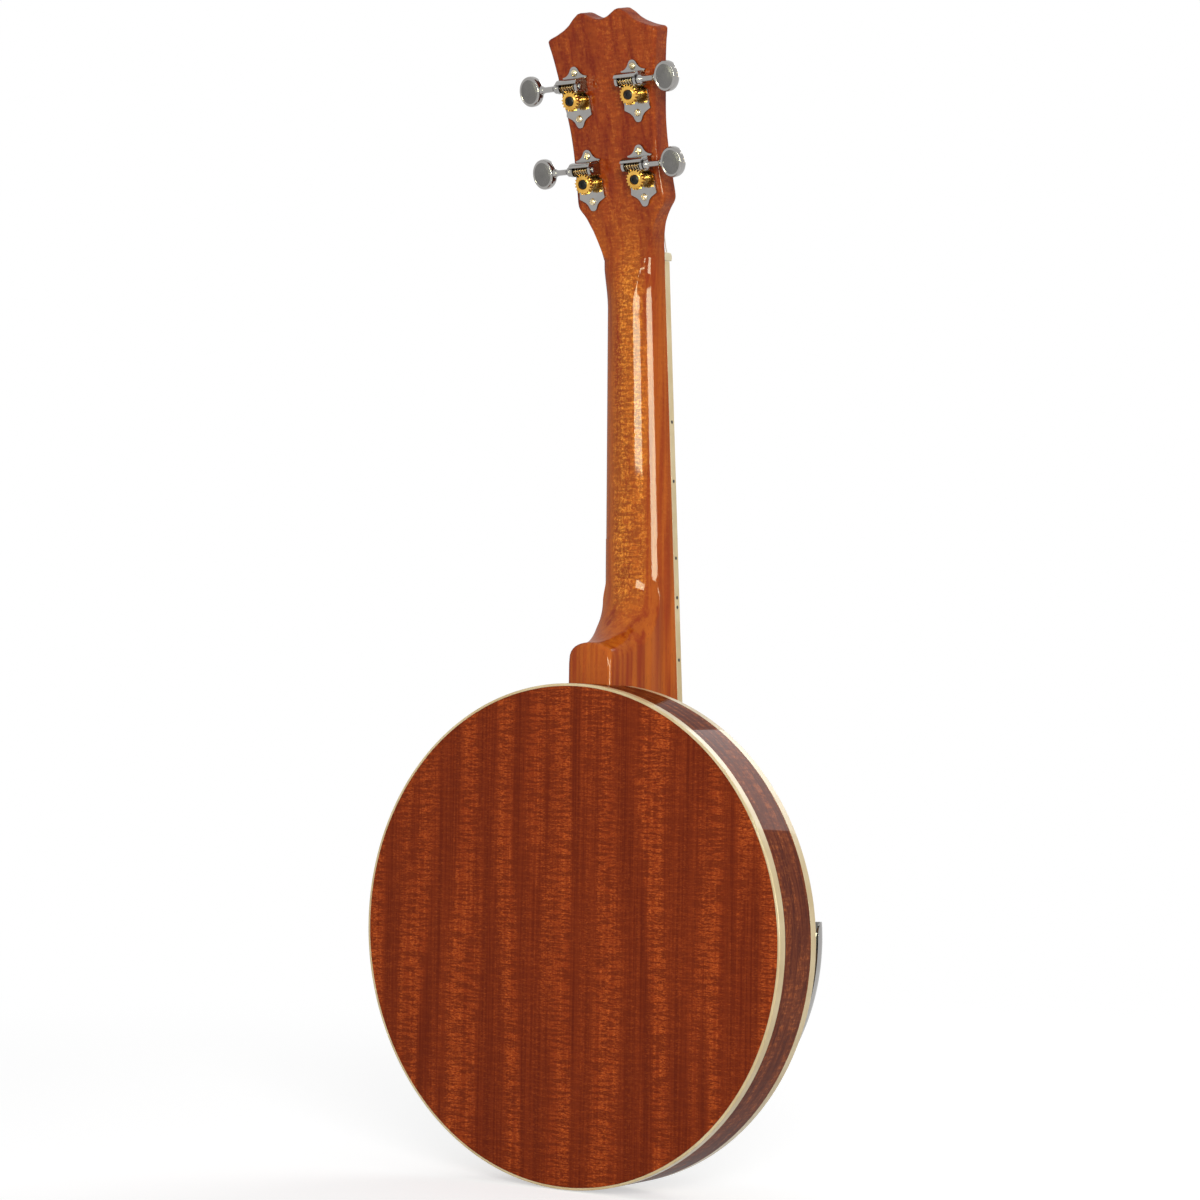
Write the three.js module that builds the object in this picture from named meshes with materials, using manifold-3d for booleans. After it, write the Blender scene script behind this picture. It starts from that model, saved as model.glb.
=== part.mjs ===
// Banjo ukulele with a wooden resonator, as separate pieces, in millimetres.
// +Z runs up the neck and the back of the resonator faces -Y, so +X is at the right for someone who
// looks at that back. The origin is the point in the throat of the headstock that a hanger holds.

import * as THREE from 'three';
import { mergeVertices } from 'three/addons/utils/BufferGeometryUtils.js';
import Module from 'manifold-3d';

const wasm = await Module();
wasm.setup();

// Clearances and counts that all pieces share
const degree = Math.PI / 180;
const glueLine = 0.1;
const seatGap = 0.3;
const cutOverrun = 3;
const weldDistance = 1e-4;
const ringSegments = 48;
const roundSegments = 12;
const smallSegments = 8;
const hexSides = 6;

// Resonator
const resonatorBeyondRim = 31.75;
const resonatorDepth = 35.5;
const bindingThickness = 1.4;
const backBindingHeight = 5.2;
const frontBindingHeight = 5.3;
const wallThickness = 6;
const backPlateThickness = 4.6;

// Rim, head and tension hoop, from the back plate towards the front
const rimRadius = 101.6;
const rimThickness = 10;
const rimBack = 14;
const rimLedge = 4;
const rimLedgeHeight = 7;
const headPlane = 68.6;
const headThickness = 0.5;
const fleshHoopSize = 3;
const headCollarDepth = 10;
const hoopThickness = 3.2;
const hoopStandsProud = 1.7;
const hoopNotchDepth = 2.2;

// Flange and hooks
const flangeThickness = 2;
const flangeEdgeMargin = 4.5;
const flangeWindowShare = 0.5;
const flangeWindowWidthShare = 0.64;
const windowArcShares = [-0.5, -0.17, 0.17, 0.5];
const hookCount = 12;
const hookRadius = 1.5;
const hookClawThickness = 1.9;
const hookClawWidth = 5;
const hookTail = 9;
const nutHexRadius = 4;
const nutHexHeight = 5;

// Neck, fretboard and nut
const scaleLength = 381;
const fretCount = 19;
const boardPotGap = 1;
const boardOverHead = 2.75;
const neckTilt = 2.63 * degree;
const boardThickness = 5;
const boardHalfWidthAtNut = 17.2;
const boardHalfWidthAtEnd = 22.7;
const boardEndMargin = 2.2;
const fretWidth = 2;
const fretHeight = 1;
const neckDepthAtNut = 13.4;
const neckDepthInHand = 14.1;
const neckDepthAtHeel = 16.8;
const neckInHandShare = 0.1;
const neckRoundPower = 0.9;
const neckCornerAtNut = 0.52;
const neckRingPoints = 15;
const nutThickness = 4.6;
const nutStandsProud = 2.3;

// Heel
const heelBack = 18.4;
const heelHalfWidth = 14;
const heelRise = 22.05;
const heelArch = 9.5;
const heelArchAtNeck = 22;
const heelHalfWidthAtNeck = 18.8;
const heelRampRise = 46;
const heelSink = 7.1;
const heelWidenPower = 1.3;
const heelRoundPower = 0.8;
const heelRoundPowerAtNeck = 1.2;
const heelSteps = 7;
const heelArchPoints = 12;

// Headstock
const headstockTilt = 13.4 * degree;
const headstockThickness = 11.7;
const headstockBackBelowBoard = 10.7;
const headstockLength = 136;
const headstockHalfWidth = 35.5;
const throatFlatStart = 3;
const throatFlatEnd = 24;
const throatFlatShare = 0.93;
const throatWidenShare = 0.16;
const throatSteps = 5;
const hangerHeight = 20;

// Tuners
const lowTunerHeight = 45.5;
const lowTunerAcross = 16.9;
const highTunerHeight = 90.3;
const highTunerAcross = 19;
const tunerPlaces = [
  { name: 'tuner_1', side: 1, height: lowTunerHeight, across: lowTunerAcross, stringOrder: 0 },
  { name: 'tuner_2', side: 1, height: highTunerHeight, across: highTunerAcross, stringOrder: 1 },
  { name: 'tuner_3', side: -1, height: highTunerHeight, across: highTunerAcross, stringOrder: 2 },
  { name: 'tuner_4', side: -1, height: lowTunerHeight, across: lowTunerAcross, stringOrder: 3 },
];
const plateThickness = 1.2;
const plateHalfWidth = 8.2;
const plateAbove = 18;
const plateBelow = 15;
const plateScrewAbove = 14.6;
const plateScrewBelow = 10;
const plateScrewRadius = 2;
const plateScrewDome = 1;
const plateScrewShares = [[0, 1], [0.6, 0.8], [1, 0.2]];
const earThickness = 1.6;
const earHalfWidth = 3.1;
const earLip = 1.2;
const wormHeight = 7.4;
const gearTeeth = 18;
const gearTipRadius = 5;
const gearRootRadius = 4.2;
const gearPitchRadius = 4.72;
const gearThickness = 3.2;
const gearHubRadius = 3.4;
const gearToothTip = 0.4;
const gearToothRoot = 0.85;
const gearRecessDepth = 0.9;
const wormCrestRadius = 2.95;
const wormRootRadius = 2.1;
const wormCrestWidth = 0.4;
const wormRootWidth = 0.8;
const wormTurns = 5;
const wormSteps = 8;
const meshGap = 0.3;
const journalRadius = 1.7;
const shaftRadius = 1.6;
const collarRadius = 2.7;
const collarLength = 2.6;
const buttonReach = 25;
const buttonHalfLength = 6.7;
const buttonHalfHeight = 8.2;
const buttonThickness = 5.6;
const buttonEdge = 1.3;
const postRadius = 2.9;
const postNeckRadius = 2.1;
const postStandsProud = 12.5;
const postHoleRadius = 0.8;
const postScrewRadius = 2.4;
const bushingRadius = 4.9;
const bushingFlange = 6;
const bushingSleeve = 6;
const bushingFlangeHeight = 1.2;

// Strings
const stringRadius = 0.35;
const stringSides = 6;
const stringSpreadAtNut = 9.5;
const stringSpreadAtBridge = 13;
const stringOverBoardAtNut = 1.7;
const stringOverBoardAtBridge = 4.9;
const windingLoops = 2;
const windingSteps = 24;
const windingPitch = 1.15;

// Bridge and tailpiece
const bridgeHalfWidth = 27;
const bridgeThickness = 4;
const bridgeCapOverString = 0.4;
const tailpieceHalfWidth = 24;
const tailpieceThickness = 1.6;
const tailpieceReach = 26;
const tailpieceOverHead = 6.4;
const tailpieceNeckHalfWidth = 7;
const tailpieceFoot = 9;
const tailBoltRadius = 2;
const boltHeadShare = 0.8;

// Coordinator rod
const rodRadius = 4;
const rodHeight = 27;
const rodInHeel = 14;
const rodCollarRadius = 7;
const rodCollarLength = 5;

// Armrest
const armrestStart = 85 * degree;
const armrestEnd = 126 * degree;
const armrestSteps = 10;
const armrestThickness = 1.2;
const armrestOverHead = 5.6;
const armrestTopBeyondRim = 2.4;
const armrestHookClearance = 6.2;
const armrestTopOverHead = 7.8;
const armrestInnerDrop = 1.4;
const armrestOuterDrop = 9.6;
const armrestShoulderShares = [[0.55, 0.07], [0.92, 0.4]];
const armrestLegHalfWidth = 5;
const armrestLegAngles = [90 * degree, 120 * degree];

// Places that follow from the sizes above
const fretDistance = (number) => scaleLength * (1 - 2 ** (-number / 12));
const boardLength = fretDistance(fretCount) + boardEndMargin;
const resonatorRadius = rimRadius + resonatorBeyondRim;
const flangeBack = resonatorDepth + seatGap;
const flangeFront = flangeBack + flangeThickness;
const ledgeBack = flangeFront + seatGap;
const ledgeFront = ledgeBack + rimLedgeHeight;
const headUnderside = headPlane - headThickness;
const rimFront = headUnderside - seatGap;
const headCollarInner = rimRadius + seatGap;
const headCollarOuter = headCollarInner + headThickness;
const fleshHoopBack = headPlane - headCollarDepth;
const fleshHoopOuter = headCollarInner + fleshHoopSize;
const hoopInner = headCollarOuter + seatGap;
const hoopOuter = hoopInner + hoopThickness;
const hoopBack = fleshHoopBack + fleshHoopSize + seatGap;
const hoopFront = headPlane + hoopStandsProud;
const hookCircle = hoopOuter + seatGap + hookRadius;
const nutAbovePot = hoopOuter + boardPotGap + boardLength * Math.cos(neckTilt);
const gluePlaneAtNut = headPlane + boardOverHead - boardLength * Math.sin(neckTilt);
const heelTop = resonatorRadius + heelRise;
const neckTop = heelTop + heelRampRise;
const gluePlaneAtHeel = gluePlaneAtNut + (nutAbovePot - neckTop) * Math.tan(neckTilt);
const heelWidenDepth = gluePlaneAtHeel - neckDepthAtHeel - heelBack;
const heelRampDepth = heelWidenDepth + heelSink;
const armrestInnerRadius = rimRadius - armrestOverHead;
const armrestTopRadius = rimRadius + armrestTopBeyondRim;
const armrestOuterRadius = hookCircle + hookRadius + armrestHookClearance;
const gearTop = wormHeight + gearThickness / 2;
const gearBottom = wormHeight - gearThickness / 2;
const wormToGear = gearTipRadius + wormRootRadius + meshGap;
const wormPitch = 2 * Math.PI * gearPitchRadius / gearTeeth;
const wormLength = wormTurns * wormPitch + wormRootWidth;
const earInside = wormLength / 2 + seatGap * 2;
const earOutside = earInside + earThickness;
const postBoreRadius = postRadius + seatGap;
const nutTop = boardThickness + nutStandsProud;

// Finishes
const finish = (color, roughness, metalness = 0) => (
  new THREE.MeshStandardMaterial({ color, roughness, metalness })
);
const wood = {
  back: () => finish(0x6e2a14, 0.2),
  side: () => finish(0x5a2412, 0.2),
  neck: () => finish(0x8a3a16, 0.22),
  maple: () => finish(0xc79a62, 0.35),
  board: () => finish(0x2c1a12, 0.5),
};
const cream = () => finish(0xe8d9a8, 0.3);
const bone = () => finish(0xe9e2c8, 0.35);
const nickel = () => finish(0xb9bab8, 0.22, 1);
const brass = () => finish(0xc9962f, 0.25, 1);
const skin = () => finish(0xeeece4, 0.6);
const nylon = () => finish(0xdcd8cc, 0.4);

// Solids: clean, turn outward, join and carve

function signedVolume(positions, index) {
  let volume = 0;
  const a = new THREE.Vector3();
  const b = new THREE.Vector3();
  const c = new THREE.Vector3();
  for (let i = 0; i < index.length; i += 3) {
    a.fromBufferAttribute(positions, index[i]);
    b.fromBufferAttribute(positions, index[i + 1]);
    c.fromBufferAttribute(positions, index[i + 2]);
    volume += a.dot(b.cross(c));
  }
  return volume;
}

// Merges the vertices of a closed geometry, drops empty triangles and turns its faces outward.
function clean(geometry) {
  const bare = new THREE.BufferGeometry();
  bare.setAttribute('position', geometry.getAttribute('position'));
  if (geometry.index) bare.setIndex(geometry.index);
  const merged = mergeVertices(bare, weldDistance);
  const kept = [];
  const source = merged.index.array;
  for (let i = 0; i < source.length; i += 3) {
    const [a, b, c] = source.slice(i, i + 3);
    if (a !== b && b !== c && c !== a) kept.push(a, b, c);
  }
  const inward = signedVolume(merged.getAttribute('position'), kept) < 0;
  if (inward) kept.reverse();
  merged.setIndex(kept);
  return merged;
}

function toManifold(geometry) {
  const solid = clean(geometry);
  const vertProperties = new Float32Array(solid.getAttribute('position').array);
  const triVerts = new Uint32Array(solid.index.array);
  return new wasm.Manifold(new wasm.Mesh({ numProp: 3, vertProperties, triVerts }));
}

function toGeometry(manifold) {
  const mesh = manifold.getMesh();
  const geometry = new THREE.BufferGeometry();
  geometry.setAttribute('position', new THREE.BufferAttribute(new Float32Array(mesh.vertProperties), 3));
  geometry.setIndex(new THREE.BufferAttribute(new Uint32Array(mesh.triVerts), 1));
  return geometry;
}

function join(...geometries) {
  return toGeometry(geometries.map(toManifold).reduce((whole, next) => whole.add(next)));
}

function carve(geometry, ...tools) {
  return toGeometry(tools.map(toManifold).reduce((whole, tool) => whole.subtract(tool), toManifold(geometry)));
}

// Shapes

// A box between two corners.
function block(low, high) {
  const size = high.map((value, axis) => value - low[axis]);
  const middle = high.map((value, axis) => (value + low[axis]) / 2);
  return new THREE.BoxGeometry(...size).translate(...middle);
}

// A round bar along Y.
function bar(radius, low, high, segments = roundSegments) {
  const geometry = new THREE.CylinderGeometry(radius, radius, high - low, segments);
  return geometry.translate(0, (low + high) / 2, 0);
}

// A round bar along X.
function crossBar(radius, low, high, segments = roundSegments) {
  return bar(radius, low, high, segments).rotateZ(-Math.PI / 2);
}

// A closed profile of [radius, height] turned about Y.
function turned(profile, segments = ringSegments) {
  const closed = [...profile, profile[0]];
  return new THREE.LatheGeometry(closed.map(([radius, height]) => new THREE.Vector2(radius, height)), segments);
}

// A profile that starts and ends on the axis, turned about Y.
function spindle(profile, segments = roundSegments) {
  return new THREE.LatheGeometry(profile.map(([radius, height]) => new THREE.Vector2(radius, height)), segments);
}

// An outline of [x, z] raised along Y from one height to another.
function slab(outline, low, high) {
  const shape = new THREE.Shape(outline.map(([x, z]) => new THREE.Vector2(x, -z)));
  const geometry = new THREE.ExtrudeGeometry(shape, { depth: high - low, bevelEnabled: false });
  return geometry.rotateX(-Math.PI / 2).translate(0, low, 0);
}

// An outline of [x, y] raised along Z from one height to another.
function prism(outline, low, high) {
  const shape = new THREE.Shape(outline.map(([x, y]) => new THREE.Vector2(x, y)));
  const geometry = new THREE.ExtrudeGeometry(shape, { depth: high - low, bevelEnabled: false });
  return geometry.translate(0, 0, low);
}

// A right half of an outline, as [x, z] points, with its mirror image.
function mirrored(half) {
  const left = half.filter(([x]) => x > 0).map(([x, z]) => [-x, z]).reverse();
  return [...half, ...left];
}

// A smooth row of points through the given ones.
function smooth(points, steps) {
  const curve = new THREE.SplineCurve(points.map(([x, z]) => new THREE.Vector2(x, z)));
  return curve.getPoints(steps).map((point) => [Math.max(point.x, 0), point.y]);
}

// A solid through a row of rings that all have the same number of points, with flat ends.
function loft(rings) {
  const count = rings[0].length;
  const positions = [];
  const index = [];
  for (const ring of rings) {
    for (const point of ring) positions.push(point.x, point.y, point.z);
  }
  for (let row = 0; row + 1 < rings.length; row += 1) {
    for (let i = 0; i < count; i += 1) {
      const a = row * count + i;
      const b = row * count + (i + 1) % count;
      index.push(a, b, b + count, a, b + count, a + count);
    }
  }
  const ends = [[rings[0], 0, 1], [rings.at(-1), (rings.length - 1) * count, -1]];
  for (const [ring, first, turn] of ends) {
    const middle = ring.reduce((sum, point) => sum.add(point), new THREE.Vector3()).divideScalar(count);
    const centre = positions.length / 3;
    positions.push(middle.x, middle.y, middle.z);
    for (let i = 0; i < count; i += 1) {
      const pair = [first + i, first + (i + 1) % count];
      if (turn > 0) pair.reverse();
      index.push(centre, ...pair);
    }
  }
  const geometry = new THREE.BufferGeometry();
  geometry.setAttribute('position', new THREE.Float32BufferAttribute(positions, 3));
  geometry.setIndex(index);
  return geometry;
}

// A route whose spaced points are its own points, so that a tube bends exactly where the route does.
class Route extends THREE.Curve {
  constructor(pointAt) {
    super();
    this.pointAt = pointAt;
  }

  getPoint(share) {
    return this.pointAt(share);
  }

  getPointAt(share) {
    return this.pointAt(share);
  }

  getTangentAt(share) {
    return this.getTangent(share);
  }
}

function tube(pointAt, steps, radius, sides) {
  const shape = new THREE.Shape();
  for (let side = 0; side < sides; side += 1) {
    const angle = 2 * Math.PI * side / sides;
    const point = [radius * Math.cos(angle), radius * Math.sin(angle)];
    if (side === 0) shape.moveTo(...point);
    else shape.lineTo(...point);
  }
  const options = { steps, extrudePath: new Route(pointAt), bevelEnabled: false };
  return new THREE.ExtrudeGeometry(shape, options);
}

function tubeThrough(points, radius, sides) {
  const last = points.length - 1;
  const pointAt = (share) => {
    const place = Math.min(Math.max(share, 0), 1) * last;
    const before = Math.min(Math.floor(place), last - 1);
    return points[before].clone().lerp(points[before + 1], place - before);
  };
  return tube(pointAt, last, radius, sides);
}

// Groups and pieces

const pot = new THREE.Group();
const neckFrame = new THREE.Group();
const headstockFrame = new THREE.Group();

const headstockNormal = new THREE.Vector3(0, Math.cos(headstockTilt), Math.sin(headstockTilt));
neckFrame.position.set(0, gluePlaneAtNut, nutAbovePot);
neckFrame.rotation.x = neckTilt;
headstockFrame.position.copy(neckFrame.position).addScaledVector(headstockNormal, -headstockBackBelowBoard);
headstockFrame.rotation.x = headstockTilt;
pot.add(neckFrame, headstockFrame);
for (const frame of [neckFrame, headstockFrame]) frame.updateMatrix();

const inNeck = (x, y, z) => new THREE.Vector3(x, y, z).applyMatrix4(neckFrame.matrix);
const inHeadstock = (x, y, z) => new THREE.Vector3(x, y, z).applyMatrix4(headstockFrame.matrix);

const banjoUkulele = new THREE.Group();
banjoUkulele.add(pot);
pot.position.copy(inHeadstock(0, headstockThickness / 2, hangerHeight)).negate();

function addPiece(parent, name, geometry, material) {
  const mesh = new THREE.Mesh(clean(geometry), material);
  mesh.name = name;
  parent.add(mesh);
  return mesh;
}

// Resonator

// Half the width of the heel at a height in front of the resonator's back.
function heelHalfWidthAt(height) {
  const share = Math.max(height - heelBack, 0) / heelWidenDepth;
  return heelHalfWidth + (heelHalfWidthAtNeck - heelHalfWidth) * Math.min(share, 1) ** heelWidenPower;
}

// The space that the heel takes where it passes the resonator and the flange.
function heelPassage(front) {
  const back = heelBack - seatGap;
  const outline = mirrored([
    [0, back],
    [heelHalfWidthAt(back) + seatGap * 2, back],
    [heelHalfWidthAt(front) + seatGap * 2, front],
    [0, front],
  ]);
  return prism(outline, rimRadius - rimThickness, resonatorRadius + cutOverrun);
}

function makeResonator() {
  const bindingInner = resonatorRadius - bindingThickness;
  const wallInner = resonatorRadius - wallThickness;
  const plate = spindle([
    [0, 0],
    [bindingInner - glueLine, 0],
    [bindingInner - glueLine, backPlateThickness],
    [0, backPlateThickness],
  ], ringSegments);
  addPiece(pot, 'resonator_back', plate, wood.back());

  const wall = turned([
    [wallInner, backPlateThickness + glueLine],
    [bindingInner - glueLine, backPlateThickness + glueLine],
    [bindingInner - glueLine, backBindingHeight + glueLine],
    [resonatorRadius, backBindingHeight + glueLine],
    [resonatorRadius, resonatorDepth - frontBindingHeight - glueLine],
    [bindingInner - glueLine, resonatorDepth - frontBindingHeight - glueLine],
    [bindingInner - glueLine, resonatorDepth],
    [wallInner, resonatorDepth],
  ]);
  const passage = heelPassage(resonatorDepth + cutOverrun);
  addPiece(pot, 'resonator_side', carve(wall, passage), wood.side());

  const bindings = [
    ['back_binding', 0, backBindingHeight],
    ['front_binding', resonatorDepth - frontBindingHeight, resonatorDepth],
  ];
  for (const [name, low, high] of bindings) {
    const ring = turned([
      [bindingInner, low],
      [resonatorRadius, low],
      [resonatorRadius, high],
      [bindingInner, high],
    ]);
    addPiece(pot, name, low > 0 ? carve(ring, passage) : ring, cream());
  }
}

// Pot

function makeRim() {
  const ledge = rimRadius + rimLedge;
  const inner = rimRadius - rimThickness;
  const ring = turned([
    [inner, rimBack],
    [rimRadius, rimBack],
    [rimRadius, ledgeBack],
    [ledge, ledgeBack],
    [ledge, ledgeFront],
    [rimRadius, ledgeFront],
    [rimRadius, rimFront],
    [inner, rimFront - rimThickness / 2],
  ]);
  const rodHole = bar(rodRadius + seatGap, -rimRadius - cutOverrun * 2, rimRadius + cutOverrun * 2);
  addPiece(pot, 'rim', carve(ring, rodHole.rotateX(Math.PI / 2).translate(0, rodHeight, 0)), wood.maple());
}

function makeHead() {
  const head = spindle([
    [0, headUnderside],
    [headCollarInner, headUnderside],
    [headCollarInner, fleshHoopBack],
    [fleshHoopOuter, fleshHoopBack],
    [fleshHoopOuter, fleshHoopBack + fleshHoopSize],
    [headCollarOuter, fleshHoopBack + fleshHoopSize],
    [headCollarOuter, headPlane],
    [0, headPlane],
  ], ringSegments);
  addPiece(pot, 'head', head, skin());
}

// The angle of a hook from the neck, with the neck and the tailpiece midway between two hooks.
const hookAngle = (number) => 2 * Math.PI * (number + 0.5) / hookCount;

function makeTensionHoop() {
  const ring = turned([
    [hoopInner, hoopBack],
    [hoopOuter, hoopBack],
    [hoopOuter, hoopFront],
    [hoopInner, hoopFront],
  ]);
  const notches = [];
  for (let number = 0; number < hookCount; number += 1) {
    const halfWidth = hookClawWidth / 2 + seatGap;
    const low = [-halfWidth, hoopFront - hoopNotchDepth, hoopInner - cutOverrun];
    const high = [halfWidth, hoopFront + cutOverrun, hoopOuter + cutOverrun];
    notches.push(block(low, high).rotateY(hookAngle(number)));
  }
  addPiece(pot, 'tension_hoop', carve(ring, ...notches), nickel());
}

function makeHooks() {
  const clawBack = hoopFront - hookClawThickness;
  for (let number = 0; number < hookCount; number += 1) {
    const shank = bar(hookRadius, flangeBack - hookTail, clawBack + hookClawThickness / 2, smallSegments);
    const halfWidth = hookClawWidth / 2;
    const clawTip = [-halfWidth, clawBack, hoopInner + seatGap];
    const claw = block(clawTip, [halfWidth, hoopFront, hookCircle + hookRadius]);
    const nutFront = flangeBack - seatGap;
    const nut = bar(nutHexRadius, nutFront - nutHexHeight, nutFront, hexSides);
    const hook = join(shank.translate(0, 0, hookCircle), claw, nut.translate(0, 0, hookCircle));
    addPiece(pot, `hook_${number + 1}`, hook.rotateY(hookAngle(number)), nickel());
  }
}

function makeFlange() {
  const inner = rimRadius + seatGap;
  const outer = resonatorRadius - flangeEdgeMargin;
  const ring = turned([[inner, flangeBack], [outer, flangeBack], [outer, flangeFront], [inner, flangeFront]]);
  const tools = [heelPassage(flangeFront + cutOverrun)];
  const tall = [flangeBack - cutOverrun, flangeFront + cutOverrun];
  const windowMiddle = (hookCircle + nutHexRadius + outer) / 2;
  const windowHalfWidth = (outer - hookCircle - nutHexRadius) * flangeWindowWidthShare / 2;
  const windowAngle = 2 * Math.PI / hookCount * flangeWindowShare;
  const windowEdges = [
    [windowMiddle - windowHalfWidth, 1],
    [windowMiddle + windowHalfWidth, -1],
  ];
  for (let number = 0; number < hookCount; number += 1) {
    const angle = hookAngle(number);
    const hole = bar(hookRadius + seatGap, ...tall, smallSegments);
    tools.push(hole.translate(0, 0, hookCircle).rotateY(angle));
    const arc = [];
    for (const [radius, turn] of windowEdges) {
      for (const share of windowArcShares) {
        const at = angle + share * turn * windowAngle;
        arc.push([radius * Math.sin(at), radius * Math.cos(at)]);
      }
    }
    if (number < hookCount - 1) tools.push(slab(turnedBy(arc, Math.PI / hookCount), ...tall));
  }
  tools.push(bar(tailBoltRadius + seatGap, ...tall, smallSegments).translate(0, 0, -tailBoltCircle));
  addPiece(pot, 'flange', carve(ring, ...tools), nickel());
}

function turnedBy(outline, angle) {
  const [cosine, sine] = [Math.cos(angle), Math.sin(angle)];
  return outline.map(([x, z]) => [x * cosine + z * sine, z * cosine - x * sine]);
}

function makeCoordinatorRod() {
  const inner = rimRadius - rimThickness;
  const facet = Math.cos(Math.PI / ringSegments);
  const collarTop = Math.sqrt(inner ** 2 - rodCollarRadius ** 2) * facet - seatGap;
  const heelEnd = rimRadius + rodInHeel;
  const tailEnd = rimRadius + rodCollarLength;
  const rod = spindle([
    [0, -tailEnd],
    [rodRadius, -tailEnd],
    [rodRadius, -collarTop],
    [rodCollarRadius, -collarTop],
    [rodCollarRadius, rodCollarLength - collarTop],
    [rodRadius, rodCollarLength - collarTop],
    [rodRadius, collarTop - rodCollarLength],
    [rodCollarRadius, collarTop - rodCollarLength],
    [rodCollarRadius, collarTop],
    [rodRadius, collarTop],
    [rodRadius, heelEnd],
    [0, heelEnd],
  ]);
  addPiece(pot, 'coordinator_rod', rod.rotateX(Math.PI / 2).translate(0, rodHeight, 0), nickel());
}

// Neck

const boardHalfWidth = (distance) => {
  const share = distance / boardLength;
  return boardHalfWidthAtNut + (boardHalfWidthAtEnd - boardHalfWidthAtNut) * share;
};

// A flat front edge and a rounded back: half width, depth behind the front, where a flat cuts it off, and a
// power that fills its corners, from 1 for an oval towards 0 for a box.
function roundedBack(halfWidth, depth, deepest, cornerPower, place) {
  const ring = [];
  for (let i = 0; i < neckRingPoints; i += 1) {
    const angle = Math.PI * i / (neckRingPoints - 1);
    const across = Math.sign(Math.cos(angle)) * Math.abs(Math.cos(angle)) ** cornerPower;
    const down = Math.min(depth * Math.sin(angle) ** (neckRoundPower * cornerPower), deepest);
    ring.push(place(halfWidth * across, -down));
  }
  return ring;
}

// Shares of the headstock's half width and length along its right edge, from the throat to the crest.
const throatShares = [[0.49, 0.06], [0.505, 0.09], [0.552, 0.135], [0.66, 0.19], [0.762, 0.228]];
const edgeShares = [
  [0.79, 0.24], [0.8, 0.262], [0.785, 0.35], [0.775, 0.45], [0.79, 0.55], [0.84, 0.67], [0.9, 0.78],
];
const cornerShares = [[0.96, 0.87], [0.995, 0.905], [0.985, 0.915]];
const crestShares = [
  [0.82, 0.925], [0.66, 0.945], [0.54, 0.97], [0.44, 0.993], [0.36, 1], [0.27, 0.993], [0.12, 0.972],
];
const crestDipShare = 0.967;

function headstockOutline() {
  const sized = (shares) => shares.map(([x, z]) => [x * headstockHalfWidth, z * headstockLength]);
  const right = [
    [0, throatShares[0][1] * headstockLength],
    ...smooth(sized(throatShares), 6),
    ...sized(edgeShares),
    ...sized(cornerShares),
    ...smooth([...sized(crestShares), [0, crestDipShare * headstockLength]], 14),
  ];
  return mirrored(right);
}

function makeNeck() {
  const rings = [];
  const shaft = [
    [boardLength + cutOverrun, neckDepthAtHeel, 1],
    [boardLength * neckInHandShare, neckDepthInHand, 1],
    [boardLength * neckInHandShare / 3, (neckDepthInHand + neckDepthAtNut) / 2, (1 + neckCornerAtNut) / 2],
    [0, neckDepthAtNut, neckCornerAtNut],
  ];
  for (const [distance, depth, corner] of shaft) {
    const place = (x, y) => inNeck(x, y, -distance);
    rings.push(roundedBack(boardHalfWidth(distance), depth, depth, corner, place));
  }
  for (let step = 1; step <= throatSteps; step += 1) {
    const height = throatFlatEnd * step / throatSteps;
    const rise = Math.max(height - throatFlatStart, 0) / (throatFlatEnd - throatFlatStart);
    const depth = headstockThickness / Math.sqrt(1 - (throatFlatShare * Math.sqrt(rise)) ** 2);
    const widen = 1 + throatWidenShare * (step / throatSteps) ** 2;
    const place = (x, y) => inHeadstock(x, y + headstockThickness, height);
    rings.push(roundedBack(boardHalfWidthAtNut * widen, depth, headstockThickness, neckCornerAtNut, place));
  }
  const shaftAndThroat = loft(rings);

  const head = slab(headstockOutline(), 0, headstockThickness).applyMatrix4(headstockFrame.matrix);

  const heelRings = [];
  const lowest = rimRadius - rimThickness;
  for (let step = -1; step <= heelSteps; step += 1) {
    const turn = Math.max(step, 0) / heelSteps * Math.PI / 2;
    const height = step < 0 ? heelBack : heelBack + glueLine + heelRampDepth * Math.sin(turn);
    const top = heelTop + heelRampRise * (1 - Math.cos(turn));
    const arch = heelArch + (heelArchAtNeck - heelArch) * (1 - Math.cos(turn));
    const power = heelRoundPower + (heelRoundPowerAtNeck - heelRoundPower) * Math.sin(turn);
    heelRings.push(heelRing(heelHalfWidthAt(height), lowest, top, arch, power, height));
  }
  const heelFront = heelBack + heelRampDepth + neckDepthAtHeel / 2;
  const frontHalfWidth = heelHalfWidthAt(heelFront);
  heelRings.push(heelRing(frontHalfWidth, lowest, neckTop, heelArchAtNeck, heelRoundPowerAtNeck, heelFront));
  const heel = loft(heelRings);

  const nutSeat = block(
    [-headstockHalfWidth, 0, 0],
    [headstockHalfWidth, boardThickness, nutThickness + glueLine],
  ).applyMatrix4(neckFrame.matrix);
  const tools = [nutSeat, potSpace()];
  for (const { side, height, across } of tunerPlaces) {
    const hole = bar(bushingRadius + seatGap, -cutOverrun, headstockThickness + cutOverrun);
    tools.push(hole.translate(side * across, 0, height).applyMatrix4(headstockFrame.matrix));
  }
  const rodHole = bar(rodRadius + seatGap, rimRadius - rimThickness, rimRadius + rodInHeel + seatGap);
  tools.push(rodHole.rotateX(Math.PI / 2).translate(0, rodHeight, 0));
  const neck = carve(join(shaftAndThroat, head, heel), ...tools);
  addPiece(pot, 'neck', neck, wood.neck());
}

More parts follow.
